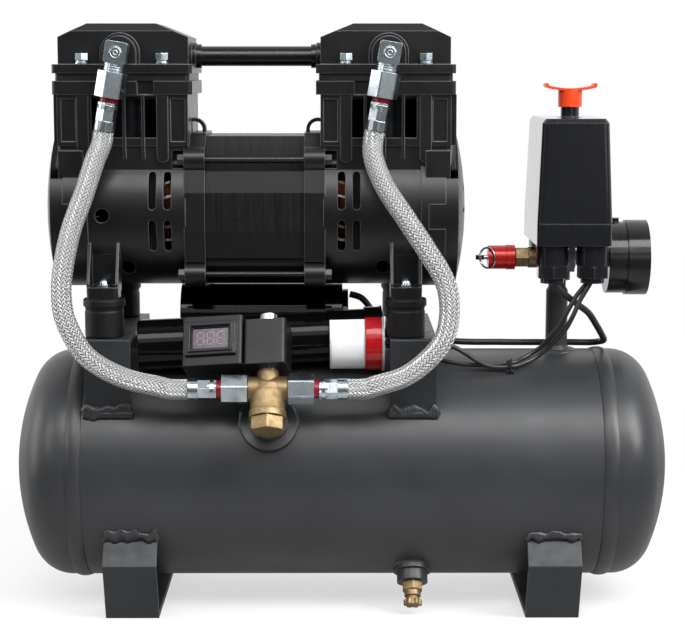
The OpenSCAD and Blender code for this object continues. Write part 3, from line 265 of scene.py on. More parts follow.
def tankPaint():  # orange peel over rolled sheet
    material, tree, shader, place = newMaterial("charcoal paint satin")
    drift = noise(tree, place, 70 * mm, 5.0, 0.6)
    cloud = noise(tree, place, 22 * mm, 4.0)
    peel = mathNode(tree, "MULTIPLY", noise(tree, place, 1.5 * mm, 2.0), 0.018 * mm)
    waves = mathNode(tree, "MULTIPLY", noise(tree, place, 30 * mm, 2.0), 0.16 * mm)
    height = mathNode(tree, "ADD", peel, waves)
    setInputs(tree, shader, {
        "Base Color": blendColours(tree, mapRange(tree, drift, 0.3, 0.7), "#2b2c2e", "#333436"),
        "Roughness": mapRange(tree, cloud, 0.3, 0.7, 0.33, 0.43),
        "Specular IOR Level": 0.5,
        "Normal": bump(tree, height, 1.0, roundedNormal(tree, 0.8 * mm)),
    })
    return material


def castBrass():  # sandy skin with a little tarnish
    material, tree, shader, place = newMaterial("brass cast")
    cloud = noise(tree, place, 6 * mm, 5.0, 0.6)
    sand = noise(tree, place, 0.45 * mm, 3.0)
    setInputs(tree, shader, {
        "Base Color": blendColours(tree, mapRange(tree, cloud, 0.35, 0.7), "#9f8a69", "#7f6b4b"),
        "Metallic": 1.0,
        "Roughness": mapRange(tree, cloud, 0.3, 0.7, 0.46, 0.6),
        "Normal": bump(tree, sand, 0.05 * mm, roundedNormal(tree, 0.9 * mm)),
    })
    return material


def wireBraid(wireCount=5):  # u runs across a ribbon of wires
    material, tree, shader, _ = newMaterial("stainless wire braid")
    flat = addNode(tree, "ShaderNodeTexCoord").outputs["UV"]
    across = addNode(tree, "ShaderNodeSeparateXYZ", {0: flat}).outputs[0]
    wave = mathNode(tree, "SINE", mathNode(tree, "MULTIPLY", across, 2 * math.pi * wireCount))
    middleShare = mathNode(tree, "ABSOLUTE", mathNode(tree, "SUBTRACT", across, 0.5))
    # painted highlight on each wire's crown and painted shade in the grooves between wires
    wires = blendColours(tree, mapRange(tree, wave, -1.0, -0.1), "#9a9b9e", "#ffffff")
    setInputs(tree, shader, {
        # painted shade in the gaps along both edges of each ribbon
        "Base Color": blendColours(tree, mapRange(tree, middleShare, 0.3, 0.48), wires, "#2c2d30"),
        "Metallic": 0.5,
        "Roughness": 0.34,
        "Normal": bump(tree, wave, 0.08 * mm),
    })
    return material


def laminatedSteel():  # thin sheets stacked along the shaft under varnish
    material, tree, shader, place = newMaterial("black varnished laminations")
    stretched = addNode(tree, "ShaderNodeVectorMath", {0: place, 1: (1, 0.012, 0.012)},
                        operation="MULTIPLY")
    sheets = noise(tree, stretched.outputs[0], 0.6 * mm, 2.0)
    drips = noise(tree, place, 2.2 * mm, 3.0)
    height = mathNode(tree, "ADD", sheets, mathNode(tree, "MULTIPLY", drips, 0.5))
    setInputs(tree, shader, {
        "Base Color": blendColours(tree, mapRange(tree, sheets, 0.35, 0.65), "#0b0b0c", "#1b1b1d"),
        "Roughness": mapRange(tree, drips, 0.3, 0.7, 0.3, 0.44),
        "Specular IOR Level": 0.3,
        "Normal": bump(tree, height, 0.035 * mm, roundedNormal(tree, 0.4 * mm)),
    })
    return material


def copperWire():  # enamelled wire wound round the shaft's axis
    material, tree, shader, place = newMaterial("enamelled copper wire")
    pattern = {"Vector": place, "Scale": 1 / (1.4 * mm), "Distortion": 2.5, "Detail": 2.0}
    wave = addNode(tree, "ShaderNodeTexWave", pattern, bands_direction="X").outputs[1]
    setInputs(tree, shader, {
        "Base Color": blendColours(tree, wave, "#3c1a0e", "#a35a30"),
        "Metallic": 0.7,
        "Roughness": 0.35,
        "Normal": bump(tree, wave, 0.3 * mm),
    })
    return material


def clearPlastic(name, colour, roughness):
    material, tree, shader, place = newMaterial(name)
    setInputs(tree, shader, {
        "Base Color": toLinear(colour),
        "Transmission Weight": 0.95,
        "Roughness": roughness,
        "Normal": bump(tree, noise(tree, place, 8 * mm, 3.0), 0.01 * mm),
    })
    return material


# each edgeHighlight colour is a painted highlight along rounded edges
materials = {
    "tank_paint": tankPaint(),  # tank, ends, riser and bungs
    "frame_paint": coatedSurface("frame paint satin", "#26282b", "#2c2e31", 0.42, 1.4, 0.03, 0.7,
                                 specular=0.4, edgeHighlight="#4c4e52"),
    "cushion_rubber": coatedSurface("black rubber matte", "#0b0b0c", "#101011", 0.52, 0.5, 0.04, 0.8,
                                    specular=0.3),
    "zinc": platedSurface("zinc plate bright", "#d9e1e5", "#b2bfc6", 0.25),
    "black_screws": coatedSurface("blackened steel", "#161618", "#202023", 0.25, 0.4, 0.02, 0.4),
    "cast_zinc": platedSurface("cast zinc dull", "#c3c5c8", "#97999c", 0.4, 0.5, 4, 0.5),
    "brass": castBrass(),
    "switch_plastic": coatedSurface("black moulded plastic satin", "#131418", "#15161a", 0.27, 0.4, 0.008,
                                    1.4, 60, specular=0.15, spread=0.02, edgeHighlight="#3c3d44", coat=1.0),
    "knob_orange": coatedSurface("orange moulded plastic gloss", "#ee4a1c", "#e03f16", 0.28, 0.6, 0.01,
                                 0.5, 10),
    "cap_red": coatedSurface("red anodised aluminium", "#c4140f", "#cc1a14", 0.24, 0.3, 0.006, 0.6, 12,
                             0.15, spread=0.03),
    "bare_steel": platedSurface("bright steel", "#d2d5d8", "#b3b7bb", 0.22),
    "gauge_black": coatedSurface("gauge enamel gloss", "#151517", "#1a1a1d", 0.16, 0.7, 0.008, 0.7),
    "dial_white": coatedSurface("dial card matte", "#f3f3ee", "#ecece6", 0.6, 0.3, 0.005),
    "needle_red": coatedSurface("needle red matte", "#c21a1a", "#b01414", 0.5, 0.3, 0.005),
    "clear": clearPlastic("clear lens", "#f2f6f8", 0.04),
    "window": coatedSurface("smoked display window", "#35272f", "#3e2f38", 0.16, 0.5, 0.004, 0.3, 6),
    "cable_pvc": coatedSurface("black cable sheath", "#1f2022", "#28292c", 0.33, 0.8, 0.02, 0.2),
    "coil_plastic": coatedSurface("coil moulding black", "#0f1012", "#151618", 0.33, 0.4, 0.025, 0.7, 40,
                                  specular=0.3, spread=0.04, edgeHighlight="#4a4b50"),
    "sleeve_black": coatedSurface("shrink sleeve gloss", "#050506", "#08080a", 0.08, 6, 0.04, 1.2, 30,
                                  specular=0.22, spread=0.02),
    "pump_black": coatedSurface("black coated casting satin", "#101012", "#151517", 0.33, 0.6, 0.035, 0.8,
                                50, specular=0.45, spread=0.035, edgeHighlight="#606165"),
    "gasket_grey": coatedSurface("valve plate dark", "#141416", "#1e1e21", 0.4, 0.5, 0.03, 0.4, 12, 0.3),
    "laminations": laminatedSteel(),
    "copper": copperWire(),
    "rotor_steel": platedSurface("rotor laminations", "#86888b", "#6c6e71", 0.4),
    "bare_alu": platedSurface("machined aluminium", "#c6c9cc", "#a9adb1", 0.3),
    "fan_plastic": coatedSurface("fan plastic black", "#121214", "#19191c", 0.45, 0.5, 0.02),
    "pipe_black": coatedSurface("crossover pipe black", "#0b0b0d", "#101012", 0.25, 0.6, 0.015, 0.5),
    "braid": wireBraid(),
}
nodeMaterials = {  # two nodes that look different from the rest of their slot
    "cylinder_sleeves": platedSurface("hard anodised sleeve", "#3a3b3e", "#2c2d30", 0.35),
    "seal_rings": coatedSurface("dark red seal", "#7a0d1c", "#8e1222", 0.3, 0.4, 0.01, 0.3, 5),
}


def dressNodes():  # every CAD node gets its slot's material
    slots = {row["node"]: row["material_slot"] for row in frame["record"]["subparts"]}
    for name, node in nodes.items():
        node.data.materials.clear()
        node.data.materials.append(nodeMaterials.get(name, materials[slots[name]]))
        for polygon in node.data.polygons:
            polygon.material_index = 0
    print("materials dressed:", len(slots))


dressNodes()

cameraSettings = {
    "place": (-0.0054, -1.2925, 0.3711),
    "pitchDown": 7.72,
    "yawRight": 0.255,
    "lens": 98.06,
    "sensor": 36,
}


def makeCamera(settings):
    data = bpy.data.cameras.new("camera")
    data.lens = settings["lens"]
    data.sensor_width = settings["sensor"]
    camera = bpy.data.objects.new("camera", data)
    camera.location = settings["place"]
    pitch, yaw = math.radians(90 - settings["pitchDown"]), -math.radians(settings["yawRight"])
    camera.rotation_euler = (pitch, 0, yaw)
    bpy.context.scene.collection.objects.link(camera)
    bpy.context.scene.camera = camera
    print("camera made")


makeCamera(cameraSettings)

hoseSettings = {
    "radius": 6.95 * mm,
    "endNarrow": 0.6 * mm,  # how much thinner the braid is inside a ferrule
    "ribbons": 18,  # ribbons that wind each way
    "ribbonWidth": 1.52 * mm,
    "lift": 0.25 * mm,  # how far a ribbon rises over the one it crosses
    "clear": 0.08 * mm,  # how far the lowest ribbons stand off the core
    "crown": 0.1 * mm,  # how far a ribbon's middle stands over its edges
    "angle": 41,  # degrees between a ribbon and the hose's axis
    "step": 0.5 * mm,
    "coreEvery": 6,  # the core takes each sixth point of the path
    "cordEvery": 8,
    "coreSides": 24,
    "leftMiddle": [
        (-163, -61, 310), (-170, -66, 288), (-178, -71, 265), (-183, -77, 240), (-184, -80, 222),
        (-181, -82, 206), (-171, -83, 187), (-158, -84, 176), (-140, -85, 168), (-122, -86, 164),
    ],
    "rightMiddle": [
        (21, -61, 310), (28, -66, 293), (42, -72, 272), (56, -77, 251), (67, -80, 232),
        (70, -82, 214), (67, -83, 196), (57, -84, 182), (41, -85, 170), (22, -86, 164),
    ],
    "elbowLean": 10,  # degrees
    "straight": (12 * mm, 14 * mm),  # straight lengths at the elbow and at the valve
    "ends": (3 * mm, 2 * mm),  # depth of the part of the node that marks each end
    "ferrule": 4 * mm,  # length over which the braid narrows at each end
}


def hoseRoute(side, settings):
    hose = "hose_left" if side < 0 else "hose_right"
    low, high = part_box(hose)
    atTop, atSide = settings["ends"]
    lean = math.radians(settings["elbowLean"])
    down = Vector((-math.sin(lean), 0, -math.cos(lean)))
    points = nodePoints(hose)
    start = mean(p for p in points if p.z > high.z - atTop)
    end = mean(p for p in points if abs(p.x - (high.x if side < 0 else low.x)) < atSide)
    atElbow, atValve = settings["straight"]
    middle = [Vector(p) * mm for p in settings["leftMiddle" if side < 0 else "rightMiddle"]]
    return [start, start + down * atElbow] + middle + [end + Vector((side * atValve, 0, 0)), end]


def braidMesh(path, frames, settings):
    count = settings["ribbons"]
    lift, crown = settings["lift"], settings["crown"]
    width = settings["ribbonWidth"]
    slope = math.radians(settings["angle"])
    turn = math.tan(slope) / settings["radius"]
    step = settings["length"] / (len(path) - 1)
    vertices, faces, flat = [], [], []
    for way in (1, -1):
        for k in range(count):
            first = len(vertices)
            for i, (tangent, side, up) in enumerate(frames):
                s = i * step
                inner = settings["inner"](s) + settings["clear"]
                angle = 2 * math.pi * k / count + way * turn * s
                crossing = 2 * k + way * count * turn * s / math.pi
                rise = lift * (1 + way * math.cos(2 * math.pi * (crossing - 0.5) / 4))
                outward = math.cos(angle) * side + math.sin(angle) * up
                around = -math.sin(angle) * side + math.cos(angle) * up
                across = around * math.cos(slope) - tangent * way * math.sin(slope)
                for a, swell in ((-0.5, 0.0), (0.0, crown), (0.5, 0.0)):
                    shift = across * (width * a)
                    offset = around.dot(shift)
                    drop = inner - math.sqrt(inner * inner - offset * offset)
                    vertices.append(path[i] + outward * (inner + rise - drop + swell) + shift)
                    flat.append((a + 0.5, s / width))
            for i in range(len(path) - 1):
                for j in range(2):
                    a = first + i * 3 + j
                    faces.append((a, a + 1, a + 4, a + 3))
    return vertices, faces, flat


def makeHose(side, settings):
    name = "hoseLeft" if side < 0 else "hoseRight"
    path, length = evenPath(hoseRoute(side, settings), settings["step"])

    def inner(s):  # the braid narrows where the ferrules hold it
        fromEnd = min(s, length - s) / settings["ferrule"]
        narrow = settings["endNarrow"] * (1 - min(max(fromEnd, 0.0), 1.0))
        return settings["radius"] - 3 * settings["lift"] - narrow

    settings = dict(settings, length=length, inner=inner)
    step = length / (len(path) - 1)
    every = settings["coreEvery"]
    corePath = path[::every] + [path[-1]]
    core, coreFaces = tubeMesh(corePath, lambda i: inner(min(i * every * step, length)),
                               settings["coreSides"])
    ribbons, ribbonFaces, flat = braidMesh(path, pathFrames(path), settings)
    faces = coreFaces + [tuple(v + len(core) for v in f) for f in ribbonFaces]
    piece = meshObject(name, core + ribbons, faces, [materials["braid"], materials["cable_pvc"]])
    layer = piece.data.uv_layers.new(name="flat")
    for polygon in piece.data.polygons:
        isCore = polygon.index < len(coreFaces)
        polygon.material_index = 1 if isCore else 0
        if not isCore:
            for loop in polygon.loop_indices:
                layer.data[loop].uv = flat[piece.data.loops[loop].vertex_index - len(core)]
    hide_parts("hose_left" if side < 0 else "hose_right")
    print("hose made:", name, round(length, 4), "m")


for side in (-1, 1):
    makeHose(side, hoseSettings)

cableSettings = {
    "feed": [
        (142, -34, 232), (144, -33.5, 226), (152, -31, 217.5), (162, -26, 209.5), (170, -18, 203),
        (177, -10, 193), (182, -2, 185), (184, 5, 181), (181, 11, 179), (175, 14, 178),
        (162, 15, 178), (145, 15, 178), (128, 15, 178), (110, 16, 178), (85, 18, 178),
        (60, 20, 180), (44, 19, 181), (33, 16, 182.5), (26, 13, 190), (21, 11, 201), (14, 10, 210),
        (5.5, 10, 213),
    ],
    "leadA": [
        (168.5, -33, 231), (166.5, -33, 226), (159, -34, 216.5), (153, -35, 206), (148, -34, 196),
        (142, -30, 188), (137, -26, 181), (130, -25, 176), (123, -29, 173), (116, -34, 171),
        (101, -35, 170), (87, -35, 170), (77, -34, 171), (66, -31, 173), (52, -30, 179),
        (42, -30, 183), (29, -30, 184),
    ],
    "leadB": [
        (171, -36, 231), (167, -37, 224), (161, -38, 214), (157, -39, 205), (152, -38, 195),
        (146, -34, 187), (140, -30, 180), (133, -29, 174), (125, -33, 171), (116, -38, 169),
        (102, -39, 169), (92, -39, 173), (84, -38, 178), (75, -39, 183), (66, -40, 185),
        (54, -40, 184.5), (42, -39, 184.5), (29, -37, 185),
    ],
    "radii": {"feed": 2.3 * mm, "leadA": 1.65 * mm, "leadB": 1.65 * mm},
    "step": 1.5 * mm,
    "sides": 16,
}


def makeCables(settings):
    for name, radius in settings["radii"].items():
        path, length = evenPath([Vector(p) * mm for p in settings[name]], settings["step"])
        vertices, faces = tubeMesh(path, radius, settings["sides"])
        piece = meshObject(name + "Cable", vertices, faces, materials["cable_pvc"])
        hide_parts("cables")
        print("cable made:", name, round(length, 4), "m")


makeCables(cableSettings)

tieSettings = {
    "centre": Vector((114, -36, 170)) * mm,
    "half": (4.4 * mm, 3.2 * mm),  # half width and half height of the loop
    "strap": (2.6 * mm, 0.5 * mm),  # width and half thickness
    "head": ((0.4, -2.4, -5), (4.6, 4, 3.4)),  # place from the centre and size, in mm
    "tail": ((0, -4.6, -4), (0.1, -5.6, -1), (0.3, -5.8, 2), (0.8, -5.2, 5)),
    "tailRadius": 0.8 * mm,
    "cuts": 40,
}


def makeCableTie(settings):
    centre = settings["centre"]
    wide, thick = settings["strap"]
    vertices, faces = [], []
    count = settings["cuts"]
    for k in range(count):
        angle = 2 * math.pi * k / count
        spoke = Vector((0, math.cos(angle), math.sin(angle)))
        loop = Vector((0, spoke.y * settings["half"][0], spoke.z * settings["half"][1]))
        for along, out in ((-0.5, 0), (-0.4, 1), (0.4, 1), (0.5, 0), (0.4, -1), (-0.4, -1)):
            vertices.append(centre + loop + spoke * (out * thick) + Vector((along * wide, 0, 0)))
        for j in range(6):
            a, b = k * 6 + j, k * 6 + (j + 1) % 6
            c, d = (k + 1) % count * 6 + (j + 1) % 6, (k + 1) % count * 6 + j
            faces.append((a, b, c, d))
    axes = [Vector((1, 0, 0)), Vector((0, 1, 0)), Vector((0, 0, 1))]
    place, size = settings["head"]
    head = boxMesh(centre + Vector(place) * mm, axes, [v * mm for v in size])
    tail = tubeMesh([Vector(p) * mm + centre for p in settings["tail"]], settings["tailRadius"], 6)
    vertices, faces = joined([(vertices, faces), head, tail])
    piece = meshObject("cableTie", vertices, faces, materials["coil_plastic"], smooth=False)
    print("cable tie made")


makeCableTie(tieSettings)

beadSettings = {
    "ripple": 2.4 * mm,  # spacing of the weld's ripples
    "rippleRise": 0.06,  # their height, as a share of the bead's
    "step": 0.6 * mm,
    "rows": 9,  # points across a bead
    "lumps": 64,  # random swellings, used over again
    "lumpSpacing": 4.5 * mm,
    "driftFrom": 20,  # the sideways drift uses the swellings this many further on
    "driftShare": 0.25,
    "heightShare": 0.8,  # the height varies this much of what the width does
    "taper": 2.5 * mm,  # length over which an open bead's end swells to full width
    "endShare": 0.25,  # width at the very end
    "sunk": 0.25 * mm,  # how far a bead's edges lie under the skin
    "seam": {"width": 9.0 * mm, "height": 2.5 * mm, "lump": 0.5},  # along the straps
    "ring": {"width": 7.0 * mm, "height": 1.7 * mm, "lump": 0.3},  # round the bungs
}


def weldBead(name, points, outward, shape, seed, closed=False):
    luck = random.Random(seed)
    settings = beadSettings
    reached = [0.0]
    for a, b in zip(points, points[1:]):
        reached.append(reached[-1] + (b - a).length)
    count, rows = settings["lumps"], settings["rows"]
    lumps = [luck.uniform(-1, 1) for _ in range(count)]
    vertices, faces = [], []
    for i, point in enumerate(points):
        s = reached[i]
        k = s / settings["lumpSpacing"]
        j = int(k)
        ease = (1 - math.cos(math.pi * (k - j))) / 2
        swell = lumps[j % count] * (1 - ease) + lumps[(j + 1) % count] * ease
        j += settings["driftFrom"]
        drift = lumps[j % count] * (1 - ease) + lumps[(j + 1) % count] * ease
        grown = settings["endShare"] + min(s, reached[-1] - s) / settings["taper"]
        ends = 1.0 if closed else min(1.0, grown)
        ripple = settings["rippleRise"] * math.cos(2 * math.pi * s / settings["ripple"])
        width = shape["width"] / 2 * ends * (1 + shape["lump"] * swell)
        height = shape["height"] * ends * (1 + settings["heightShare"] * shape["lump"] * drift + ripple)
        before, after = points[max(i - 1, 0)], points[min(i + 1, len(points) - 1)]
        tangent = (after - before).normalized()
        across = tangent.cross(outward[i]).normalized()
        middle = point + across * (drift * shape["lump"] * settings["driftShare"] * shape["width"])
        for r in range(rows):
            angle = math.pi * (r / (rows - 1) - 0.5)
            vertices.append(middle + across * (width * math.sin(angle))
                            + outward[i] * (height * math.cos(angle) - settings["sunk"]))
    for i in range(len(points) - 1):
        for r in range(rows - 1):
            a = i * rows + r
            faces.append((a, a + 1, a + rows + 1, a + rows))
    if not closed:
        faces.append(tuple(range(rows)))
        faces.append(tuple((len(points) - 1) * rows + r for r in reversed(range(rows))))
    piece = meshObject(name, vertices, faces, materials["tank_paint"])
    return piece


def tankAxis():  # height of the tank's axis, and its radius
    low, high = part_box("tank_shell")
    return (low.z + high.z) / 2, (high.z - low.z) / 2


strapSettings = {  # in mm
    "end": 8,  # depth of the part of a strap that marks its end
    "past": 1.5,  # how far a bead runs past the strap's sides
    "bracket": (4.6, 2.2),  # height over the bracket's lower edge, and depth behind its face
    "bracketLean": -0.12,
    "foot": (2.0, 0.4),  # height over the foot's upper edge, and distance from the tank's skin
}


def strapBeads(settings):  # along the lower ends of the brackets and the upper ends of the feet
    axisHeight, tankRadius = tankAxis()
    past = settings["past"] * mm
    seed = 1
    for node, isBracket in (("pump_brackets", True), ("tank_feet", False)):
        low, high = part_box(node)
        edge = low.z if isBracket else high.z
        over, off = [v * mm for v in settings["bracket" if isBracket else "foot"]]
        near = [p for p in nodePoints(node) if abs(p.z - edge) < settings["end"] * mm]
        middle = (low.x + high.x) / 2
        for group in ([p for p in near if p.x < middle], [p for p in near if p.x > middle]):
            start, stop = min(p.x for p in group), max(p.x for p in group)
            for front in (-1, 1):
                height = edge + over
                rise = (height - axisHeight) / tankRadius
                normal = Vector((0, front * math.sqrt(1 - rise * rise), rise))
                if isBracket:
                    outward = Vector((0, front, settings["bracketLean"])).normalized()
                    base = Vector((0, front * (high.y - off), height))
                else:
                    outward = normal
                    base = Vector((0, 0, axisHeight)) + normal * (tankRadius + off)
                length = stop - start + 2 * past
                count = round(length / beadSettings["step"])
                points = [Vector((start - past + length * i / count, base.y, base.z))
                          for i in range(count + 1)]
                name = "strapBead%d" % seed
                weldBead(name, points, [outward] * len(points), beadSettings["seam"], seed)
                seed += 1


bungSettings = {  # node in the bung, radius of the bead in mm, seed, and whether the bung leans
    "drainBead": ("drain_valve_body", 11.5, 21, True),
    "valveBead": ("check_valve_poppet", 17.5, 22, True),
    "riserBead": ("riser_pipe", 10.5, 23, False),
}


def ringBead(name, through, axis, radius, seed):  # round a bung, laid on the tank's skin
    axisHeight, tankRadius = tankAxis()
    axis = axis.normalized()
    across = Vector((1, 0, 0))
    side = axis.cross(across).normalized()
    foot = Vector((through.x, 0, axisHeight)) + axis * tankRadius
    count = round(2 * math.pi * radius / beadSettings["step"])
    points, outward = [], []
    for i in range(count + 1):
        angle = 2 * math.pi * i / count
        spoke = math.cos(angle) * across + math.sin(angle) * side
        spot = foot + spoke * radius
        fromAxis = Vector((0, spot.y, spot.z - axisHeight))
        skin = fromAxis.normalized()
        spot = spot + skin * (tankRadius - fromAxis.length)
        points.append(spot)
        outward.append((skin + 0.35 * spoke).normalized())  # leans away from the bung
    weldBead(name, points, outward, beadSettings["ring"], seed, closed=True)


def bungBeads(settings):
    axisHeight = tankAxis()[0]
    for name, (node, radius, seed, leans) in settings.items():
        low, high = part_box(node)
        middle = (low + high) / 2
        axis = Vector((0, middle.y if leans else 0, middle.z - axisHeight))
        ringBead(name, middle, axis, radius * mm, seed)
    print("weld beads made")


strapBeads(strapSettings)
bungBeads(bungSettings)

bandSettings = {
    "white": (-36.8, -12.6, 18.36),  # start and end before the capacitor's right end, and radius, in mm
    "red": (-12.9, -1.2, 19.58),
    "rim": (-1.6, 0.05, 20.05),
    "ends": (2.2, 2.6),  # depth of the parts of the capacitor that mark its left and right end
    "edges": (0.12, 0.3),  # how far a band turns in at its start and at its end
    "cuts": 12,
}
bandPaints = {
    "white": coatedSurface("white paper label gloss", "#eceef0", "#f4f5f6", 0.16, 5, 0.04, 0.3, 12,
                           spread=0.03),
    "red": coatedSurface("red paper label gloss", "#a81218", "#b8161c", 0.14, 5, 0.04, 0.3, 12,
                         spread=0.03),
    "rim": coatedSurface("trimmed sleeve edge", "#9a9ca0", "#c6c8cc", 0.2, 1.2, 0.05, 0.3, 8),
}


def capacitorBands(settings):
    low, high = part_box("run_capacitor")
    points = nodePoints("run_capacitor")
    atLeft, atRight = [v * mm for v in settings["ends"]]
    left = mean(p for p in points if p.x < low.x + atLeft)
    right = mean(p for p in points if p.x > high.x - atRight)
    axis = (right - left).normalized()
    tip = max((p - left).dot(axis) for p in points)
    origin = left + axis * tip
    for name, paint in bandPaints.items():
        start, stop, radius = [v * mm for v in settings[name]]
        cuts = settings["cuts"]
        first, last = [v * mm for v in settings["edges"]]
        profile = [(start, radius - first), (start, radius)]
        profile += [(start + (stop - start) * i / cuts, radius) for i in range(1, cuts + 1)]
        profile += [(stop, radius - last)]
        vertices, faces = turnedMesh(origin, axis, profile)
        piece = meshObject(name + "Band", vertices, faces, paint)
    print("capacitor bands made")


capacitorBands(bandSettings)

displaySettings = {
    "frame": 4.6,  # width of the raised frame round the window, in mm
    "rise": 3.2,  # height of the frame over the window
    "digit": (4.6, 8.4),  # width and height of a digit
    "pitch": 6.8,
    "stroke": 0.75,
    "thick": 0.16,
    "lift": 0.1,  # how far the digits' middle lies over the window
    "point": 1.1,  # distance of the decimal point from its digit
}
digitDim = coatedSurface("unlit digit segments", "#8a6c7b", "#947585", 0.3, 0.3, 0.004, 0.1, 4)


def faceAxes(node):  # across, up and outward directions of a block, from its flat faces
    total = {}
    for polygon in nodes[node].data.polygons:
        key = tuple(round(v, 2) for v in polygon.normal)
        total[key] = total.get(key, 0) + polygon.area
    normals = [Vector(key).normalized() for key in total]
    outward = max(normals, key=lambda n: -n.y)
    across = max((n for n in normals if abs(n.dot(outward)) < 0.05), key=lambda n: n.x)
    up = outward.cross(across).normalized()
    return across, up * (1 if up.z > 0 else -1), outward


def makeDisplay(settings):
    across, up, outward = faceAxes("display_window")
    points = nodePoints("display_window")
    spans = []
    for axis in (across, up, outward):
        reach = [p.dot(axis) for p in points]
        spans.append((min(reach), max(reach)))
    front = spans[2][1]
    half = [(spans[i][1] - spans[i][0]) / 2 for i in (0, 1)]
    centre = across * sum(spans[0]) / 2 + up * sum(spans[1]) / 2 + outward * front
    wide, rise = settings["frame"] * mm, settings["rise"] * mm
    steps = [  # reach from the window's edge and height over the window, from the outside in
        (wide, -2.4 * mm), (wide, 0.35 * rise), (wide - 0.5 * mm, 0.5 * rise), (0.62 * wide, 0.5 * rise),
        (0.55 * wide, rise), (0.28 * wide, rise), (-0.25 * mm, 0.08 * mm),
    ]
    vertices = []
    for grow, height in steps:
        for sx, sy in ((-1, -1), (1, -1), (1, 1), (-1, 1)):
            corner = across * (sx * (half[0] + grow)) + up * (sy * (half[1] + grow))
            vertices.append(centre + corner + outward * height)
    faces = ringFaces(len(steps), 4)
    piece = meshObject("displayFrame", vertices, faces, materials["coil_plastic"], smooth=False)
    w, h = [v * mm / 2 for v in settings["digit"]]
    stroke = settings["stroke"] * mm
    bars = []  # place and size of each, across and up
    for y in (-h, 0, h):
        bars.append((0, y, 2 * w - stroke * 1.6, stroke))
    for x in (-w, w):
        for y in (-h / 2, h / 2):
            bars.append((x, y, stroke, h - stroke * 1.4))
    bars.append((w + settings["point"] * mm, -h, stroke, stroke))
    parts = []
    for digit in (-1, 0, 1):
        origin = centre + across * (digit * settings["pitch"] * mm) + outward * (settings["lift"] * mm)
        for x, y, barWidth, barHeight in bars:
            size = (barWidth, barHeight, settings["thick"] * mm)
            parts.append(boxMesh(origin + across * x + up * y, (across, up, outward), size))
    vertices, faces = joined(parts)
    piece = meshObject("displayDigits", vertices, faces, digitDim, smooth=False)
    print("display made")


makeDisplay(displaySettings)

dialSettings = {
    "sweep": 270,  # degrees from the first mark to the last
    "steps": 10,  # numbered in twos
    "parts": 5,  # short marks to a step
    "rim": 0.9,  # where the marks end, as a share of the dial's radius
    "long": 2.6,  # lengths and widths in mm
    "short": 1.4,
    "line": 0.42,
    "thick": 0.1,
    "thin": 0.6,  # width of a short mark, as a share of a long one's
    "numbers": 0.68,  # where the numbers stand, as a share of the radius
    "digit": (1.5, 2.7),
    "digitLine": 0.9,  # width of a number's line, as a share of a long mark's
    "spacing": 1.5,  # between two figures, in widths of one
}
digitStrokes = {  # corners of each digit's line on a grid two wide and four high
    "0": [(0.6, 0), (0, 0.8), (0, 3.2), (0.6, 4), (1.4, 4), (2, 3.2), (2, 0.8), (1.4, 0), (0.6, 0)],
    "1": [(0.4, 3.2), (1.2, 4), (1.2, 0)],
    "2": [(0, 3.3), (0.6, 4), (1.5, 4), (2, 3.2), (1.8, 2.4), (0, 0), (2, 0)],
    "4": [(1.5, 0), (1.5, 4), (0, 1.2), (2, 1.2)],
    "6": [(1.7, 4), (0.6, 3), (0, 1.6), (0.3, 0.4), (1, 0), (1.8, 0.4), (2, 1.2), (1.7, 2), (1, 2.3),
          (0.1, 1.7)],
    "8": [(1, 2.2), (0.2, 2.8), (0.3, 3.7), (1, 4), (1.7, 3.7), (1.8, 2.8), (1, 2.2), (0.1, 1.5),
          (0.1, 0.5), (1, 0), (1.9, 0.5), (1.9, 1.5), (1, 2.2)],
}
dialInk = coatedSurface("black dial ink", "#141416", "#1c1c1f", 0.5, 0.3, 0.003, 0.1, 4)


def dialMarks(settings):  # a plain scale from 0 to 10 with no unit
    low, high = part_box("gauge_dial")
    centre = Vector((high.x, (low.y + high.y) / 2, (low.z + high.z) / 2))
    radius = (high.z - low.z) / 2
    outward, right, up = Vector((1, 0, 0)), Vector((0, 1, 0)), Vector((0, 0, 1))
    line = settings["line"] * mm

    def stroke(a, b, width):  # runs a little past both ends so that corners close
        along = (b - a).normalized()
        size = ((b - a).length + width * 0.6, width, settings["thick"] * mm)
        return boxMesh((a + b) / 2, (along, outward.cross(along), outward), size)

    parts = []
    count = settings["steps"] * settings["parts"]
    for i in range(count + 1):
        angle = math.radians(settings["sweep"] * (i / count - 0.5))
        spoke = right * math.sin(angle) + up * math.cos(angle)
        isLong = i % settings["parts"] == 0
        rim = centre + spoke * (radius * settings["rim"])
        length = settings["long" if isLong else "short"] * mm
        parts.append(stroke(rim - spoke * length, rim, line if isLong else line * settings["thin"]))
        step = i // settings["parts"]
        if isLong and step % 2 == 0:
            wide, tall = [v * mm for v in settings["digit"]]
            place = centre + spoke * (radius * settings["numbers"])
            figures = str(step)
            for k, figure in enumerate(figures):
                shift = (k - (len(figures) - 1) / 2) * wide * settings["spacing"]
                corners = [place + right * (shift + (x / 2 - 0.5) * wide) + up * ((y / 4 - 0.5) * tall)
                           for x, y in digitStrokes[figure]]
                for a, b in zip(corners, corners[1:]):
                    parts.append(stroke(a, b, line * settings["digitLine"]))
    vertices, faces = joined(parts)
    piece = meshObject("dialMarks", vertices, faces, dialInk, smooth=False)
    print("dial marks made")


dialMarks(dialSettings)

plugSettings = {
    "rings": ((3.3, 0.45), (1.5, 0.4)),  # radius and half width of the rings on a plug, in mm
    "heights": (-0.1, 0.25, 0.3),  # of a ring's edge, shoulder and crown over the plug's face
}


